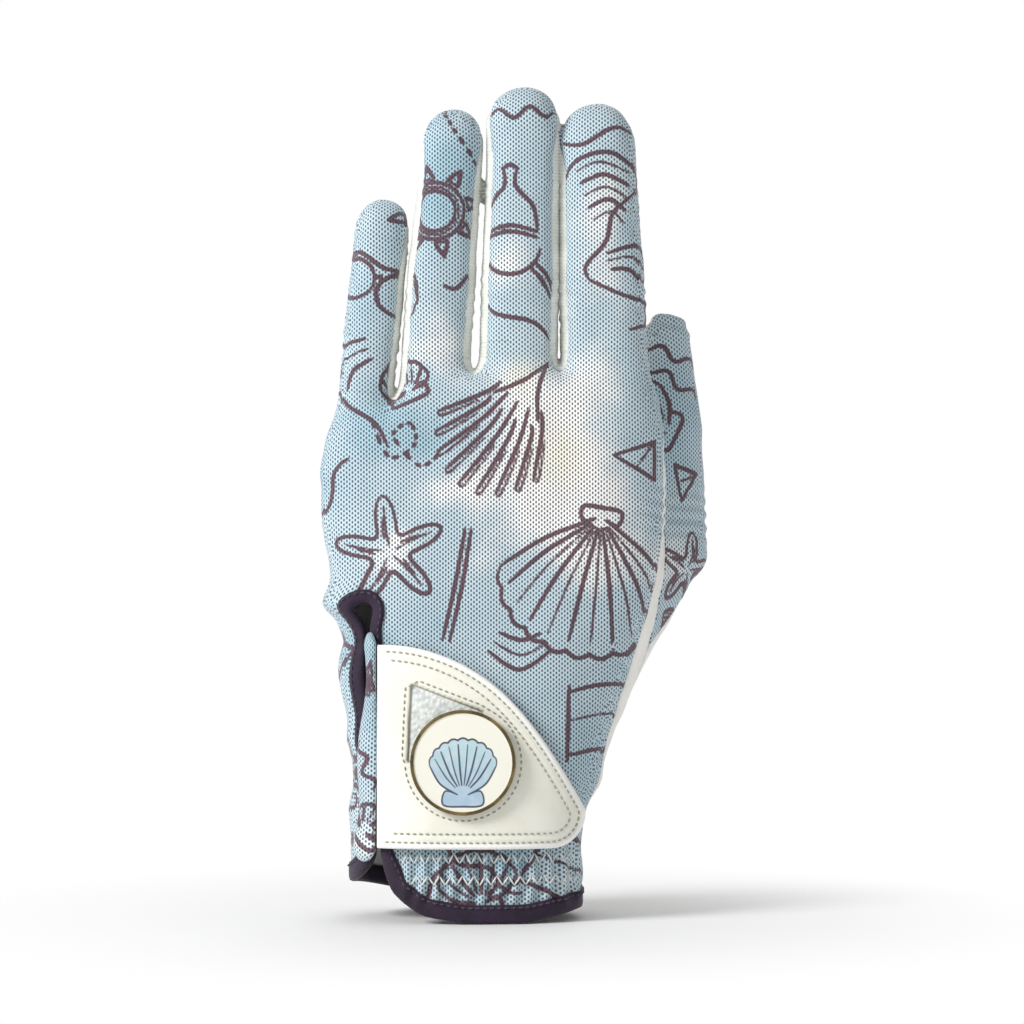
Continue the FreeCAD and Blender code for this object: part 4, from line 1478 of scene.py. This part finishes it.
tabRows = []
for inset in tab["rows"]:
    line = offsetLine(openEdge, inset, outline)
    line = evenLoop(line, 0.5, closed=False, smooth=3)
    spots = onBack(line[:, 0], line[:, 1], tab["top"] + tab["rowLift"] - 0.1)
    tabRows.append(stitchesOn(spots, slopeOf(spots, handDistance), thread["pitch"]))
seatMiddle = (np.array(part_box("marker_rim")).mean(0) / mm)[[0, 2]]
fromSeat = hole - seatMiddle
reach = np.linalg.norm(fromSeat, axis=1)
wider = np.where(reach < 11.6, 12.3 / reach, 1)
wideHole = evenLoop(seatMiddle + fromSeat * wider[:, None], 0.5, smooth=2)
line = offsetLine(np.vstack([wideHole, wideHole[:1]]), tab["windowRow"], wideHole, -1)
spots = onBack(line[:, 0], line[:, 1], tab["top"] + tab["rowLift"] - 0.06)
tabRows.append(stitchesOn(spots, slopeOf(spots, handDistance), thread["pitch"]))
# the grey of these stitches is painted shade of their grooves
makeStitches("tab_stitches", tabRows, tabThreadShaded, thread["length"], thread["thick"] / 2, "tab")


# ---- ball marker: enamelled face in its metal rim

marker = {"dish": 0.12, "spokes": 260, "rings": 56, "shell": 13.6, "hinge": -8.3, "ribs": 9, "line": 0.42}


def markerSpot():
    corners = trianglesOf(["marker_face"]).reshape(-1, 3)
    axis = unit(joints["marker_lift"]["axis"])
    axis = axis if axis[1] < 0 else -axis
    height = corners @ axis
    centre = (corners.min(0) + corners.max(0)) / 2
    up = unit(np.array((0, 0, 1.0)) - axis[2] * axis)
    side = np.cross(axis, up)
    side = side if side[0] > 0 else -side
    radius = np.abs((corners - centre) @ side).max()
    return centre + axis * (height.max() - centre @ axis), axis, side, up, radius, np.ptp(height)


# vitreous enamel, fired and stoned flat: glassy and clear-coated over cream, with a pale blue shell
def makeEnamel():
    material, tree, shader, place = newMaterial("fired_enamel", {
        "Roughness": 0.22, "Coat Weight": 0.6, "Coat Roughness": 0.06, "Specular IOR Level": 0.5})
    line, shell, shade = paintedOn(tree, "line", "shell", "shade")
    clouds = add(tree, rangeNode, eased, add(tree, noiseNode, {}, place, 420, 2.0), 0.35, 0.75, 0.0, 0.5)
    blue = layered(tree, "#a9c3d6", (add(tree, rangeNode, eased, shade), "#b9d6dc"), (clouds, "#d3dde6"))
    body = layered(tree, "#f4f2e4", (add(tree, rangeNode, eased, shell, -0.1, 0.1), blue),
                   (add(tree, rangeNode, eased, line, 0.08, -0.08), "#4d5362"))
    finishWith(tree, shader, body, add(tree, rangeNode, eased, line, 0.3, -0.3), 0.3, 0.0001)
    return material


def makeMarkerFace():
    centre, axis, side, up, radius, deep = markerSpot()
    rings, spokes = marker["rings"], marker["spokes"]
    share = (np.arange(1, rings + 1) / rings) ** 0.9
    turn = 2 * math.pi * np.arange(spokes) / spokes
    x = np.concatenate([[0], np.outer(share, np.cos(turn)).ravel()]) * radius
    z = np.concatenate([[0], np.outer(share, np.sin(turn)).ravel()]) * radius
    out = np.hypot(x, z) / radius
    lift = marker["dish"] * (1 - out ** 2) + 0.1 * step01(out, 0.965, 1.0)
    points = centre + x[:, None] * side + z[:, None] * up + lift[:, None] * axis
    index = 1 + np.arange(rings * spokes).reshape(rings, spokes)
    near, far = index[:-1], index[1:]
    a, b, c, d = (v.ravel() for v in (near, far, np.roll(far, -1, 1), np.roll(near, -1, 1)))
    fan = np.stack([np.zeros(spokes, int), index[0], np.roll(index[0], -1)], 1)
    faces = np.concatenate([fan, np.stack([a, b, c], 1), np.stack([a, c, d], 1)])
    if (normalsOf(points, faces)[0] @ axis) < 0:
        faces = faces[:, ::-1]
    flat = np.stack([x, z - marker["hinge"]], 1)
    lines = scallop(marker["shell"], marker["ribs"], 92)
    line = np.full(len(flat), 9.0)
    for path, kind in lines:
        line = np.minimum(line, strokeDistance(flat, path, marker["line"] * (1.1 if kind == "wide" else 0.8)))
    rim = lines[0][0]
    body = np.vstack([rim, lines[2][0][::-1], lines[1][0]])
    inside = np.maximum(insideDistance(flat, body), insideDistance(flat, lines[-1][0]))
    values = {"line": np.clip(line, -2, 3), "shell": np.clip(inside, -3, 3), "shade": np.clip(flat[:, 1] / 14, 0, 1)}
    obj = makePanel("marker_enamel_face", points, faces, deep * 0.9, makeEnamel(), ["marker_face"], values,
                    normals=np.tile(axis, (len(points), 1)))
    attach(obj, "marker")


makeMarkerFace()
print("marker face fired")


# ---- finishes of the CAD pieces that stay as they are

# antique gold plate over brass: brushed round, darker in its scratches
def makeGoldPlate():
    material, tree, shader, place = newMaterial("antique_gold_plate", {"Metallic": 1.0, "Roughness": 0.34})
    broad, fine = (add(tree, noiseNode, {}, place, perMetre, 3.0) for perMetre in (260, 2600))
    tree.links.new(shader.inputs["Roughness"], add(tree, rangeNode, eased, fine, 0.3, 0.7, 0.26, 0.46))
    body = layered(tree, "#6f6242", (add(tree, rangeNode, eased, broad, 0.35, 0.7), "#a08c5c"))
    finishWith(tree, shader, body, fine, 0.2, 0.00005)
    return material


# braided elastic or brushed tricot lining: matt white with fine ribs about 1 mm apart
def makeBraid(name, pale, dark, pitch):
    material, tree, shader, place = newMaterial(name, {"Roughness": 0.75, "Sheen Weight": 0.2})
    weave = weaveOf(tree, place, pitch, 0.7 * pitch)
    body = layered(tree, pale, (add(tree, rangeNode, eased, weave, -0.2, 0.9), dark))
    finishWith(tree, shader, body, weave, 0.5, 0.0002)
    return material


# nylon pile of the closure patches: a mat of tiny hooks or loops about 0.5 mm apart
pile = makeGrained("nylon_hook_and_loop", {"Roughness": 0.85, "Sheen Weight": 0.35},
                   ("ShaderNodeTexVoronoi", {}, 2100.0), (0.1, 0.6), "#f1f1ee", "#a6a8a6", -1.0, 1.0, 0.0004)
# nickel-plated neodymium magnet: bright plate with small pits
nickel = makeGrained("nickel_plate", {"Metallic": 1.0, "Roughness": 0.25}, (noiseNode, {}, 3000, 2.0), (0.4, 0.6),
                     "#b4b2ad", "#d3d1cc", 1, 0.15, 0.00005)
# embossed leather with a round pebble grain about 1 mm across, pale grey-white
pebbled = makeGrained("pebbled_white_leather", {"Roughness": 0.5, "Specular IOR Level": 0.4},
                      ("ShaderNodeTexVoronoi", {"feature": "SMOOTH_F1"}, 1050.0), (0.25, 0.7), "#e7ebe8", "#c9cfcc",
                      -1.0, 0.9, 0.00035)
gold = makeGoldPlate()
elastic = makeBraid("braided_elastic", "#eeeeea", "#c3c5c4", 0.001)
lining = makeBraid("brushed_tricot_lining", "#eeeee8", "#d2d4d0", 0.0006)
finishes = {"loop_patch": pile, "hook_patch": pile, "marker_rim": gold, "marker_seat": gold, "marker_magnet": nickel,
            "window_inlay": pebbled, "cuff_elastic": elastic, "tab_lining": lining}
for node, material in finishes.items():
    slots = frame["nodes"][node].data.materials
    slots.clear()
    slots.append(material)


# ---- rolled edge of the loose flap, a tube of printed mesh that the tab's hinge is sewn under

roll = {"lowZ": 15.0, "highZ": 69.5, "left": (-27.6, -24.6), "right": -21.7, "height": 2.9, "pressed": 0.22}


def makeRoll():
    across = 22
    z = np.arange(roll["lowZ"], roll["highZ"] + 0.01, 0.55)
    up = (z - roll["lowZ"]) / (roll["highZ"] - roll["lowZ"])
    low, high = roll["left"]
    left = low + (high - low) * up ** 0.7 - 0.7 * np.sin(z / 5.2) - 0.8 * hill(z, 21, 5)
    right = roll["right"] + 0.25 * np.sin(z / 6.1 + 1)
    ends = np.sqrt(np.clip(np.minimum(z - roll["lowZ"], roll["highZ"] - z) / 3.0, 0, 1)) * 0.92 + 0.08
    turn = 2 * math.pi * np.arange(across) / across
    sections = []
    for i in range(across):
        c, s = math.cos(turn[i]), math.sin(turn[i])
        x = (left + right) / 2 + (right - left) / 2 * c * ends
        wrinkle = 0.22 * np.sin(z * 1.5 + 2.2 * c) + 0.16 * np.sin(z * 2.9 + 4 * s)
        height = 1.55 + (roll["height"] / 2 * np.sign(s) * abs(s) ** 0.75 + wrinkle) * ends
        spots = onBack(x, z, height)
        sections.append(spots)
    sections = np.stack(sections, 1)
    girth = np.linalg.norm(np.roll(sections, -1, 1) - sections, axis=2).mean(0)
    run = np.concatenate([[0], np.cumsum(girth)[:-1]])
    obj = makeSweep("rolled_flap_edge", sections, closed=False)
    flat = np.stack(np.broadcast_arrays(run - 30, z[:, None]), -1).reshape(-1, 2)
    drawn = [(leafFan(9.0, 5, 60), (-27.5, 63.0), 20), (wave(12.0, 2), (-26.5, 38.0), 70),
             (scallop(7.0, 5, 120), (-26.0, 22.0), 40)]
    ink = np.minimum(inkOf(flat, drawn), 3.0)
    spots = sections.reshape(-1, 3)
    # pale patches add painted highlight to the print's clouds, the cool ones painted shade
    cloudAndPaintedLight = patches(spots, paleCloudsAndHighlight) - patches(spots, coolCloudsAndShade)
    giveValues(obj.data, {"ink": ink, "cloudAndPaintedLight": cloudAndPaintedLight, "creamAndHighlight": 0 * ink}, flat)
    obj.data.materials.append(printedMesh)
    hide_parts("tab_hinge")
    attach(obj, "hand")
    # a seat on the flap beside the hinge and its outward way are found but not used; the roll's mesh is made its own
    seat = onBack(np.array([-23.6]), np.array([42.0]), 0.35)
    out = slopeOf(seat, handDistance)[0]
    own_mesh(obj)


makeRoll()
print("flap edge rolled")


# ---- studio

studio = {"floorWidth": 4.0, "keyPower": 15.0, "backPower": 2.0, "surround": 0.44}


def addLight(name, where, size, power, aim=(0.0, 0.0, 0.1)):
    data = bpy.data.lights.new(name, "AREA")
    data.shape, data.size, data.energy = "DISK", size, power
    light = newObject(name, data)
    light.location = where
    light.rotation_euler = (Vector(aim) - Vector(where)).to_track_quat("-Z", "Y").to_euler()


def addStage():
    half = studio["floorWidth"] / 2
    floorMesh = bpy.data.meshes.new("floor")
    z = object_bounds()[0][2] - 0.0002
    floorMesh.from_pydata([(-half, -half, z), (half, -half, z), (half, half, z), (-half, half, z)], [], [(0, 1, 2, 3)])
    floor = newObject("floor", floorMesh)
    material, tree, shader, place = newMaterial("pale_studio_floor", {"Roughness": 0.8, "Specular IOR Level": 0.2})
    away = add(tree, "ShaderNodeVectorMath", {"operation": "LENGTH"}, place)
    shader.inputs["Base Color"].default_value = colour("#f6f6f6")
    glow = add(tree, "ShaderNodeEmission", {"Color": (1, 1, 1, 1), "Strength": 1.0})
    blend = add(tree, "ShaderNodeMixShader", {}, add(tree, rangeNode, eased, away, 0.03, 0.15), shader.outputs[0], glow)
    tree.links.new(tree.nodes["Material Output"].inputs["Surface"], blend)
    floorMesh.materials.append(material)
    world = bpy.data.worlds.new("studio")
    world.use_nodes = True
    sky = world.node_tree
    seen = add(sky, "ShaderNodeLightPath")
    sky.nodes["Background"].inputs["Color"].default_value = (1, 1, 1, 1)
    strength = add(sky, rangeNode, eased, seen, 0.0, 1.0, studio["surround"], 1.0)
    sky.links.new(sky.nodes["Background"].inputs["Strength"], strength)
    bpy.context.scene.world = world
    bpy.context.scene.view_settings.view_transform = "Standard"
    addLight("key", (-0.95, -0.62, 0.72), 0.5, studio["keyPower"])
    addLight("back", (0.2, 0.9, 0.8), 0.8, studio["backPower"])


addStage()
print("studio set")
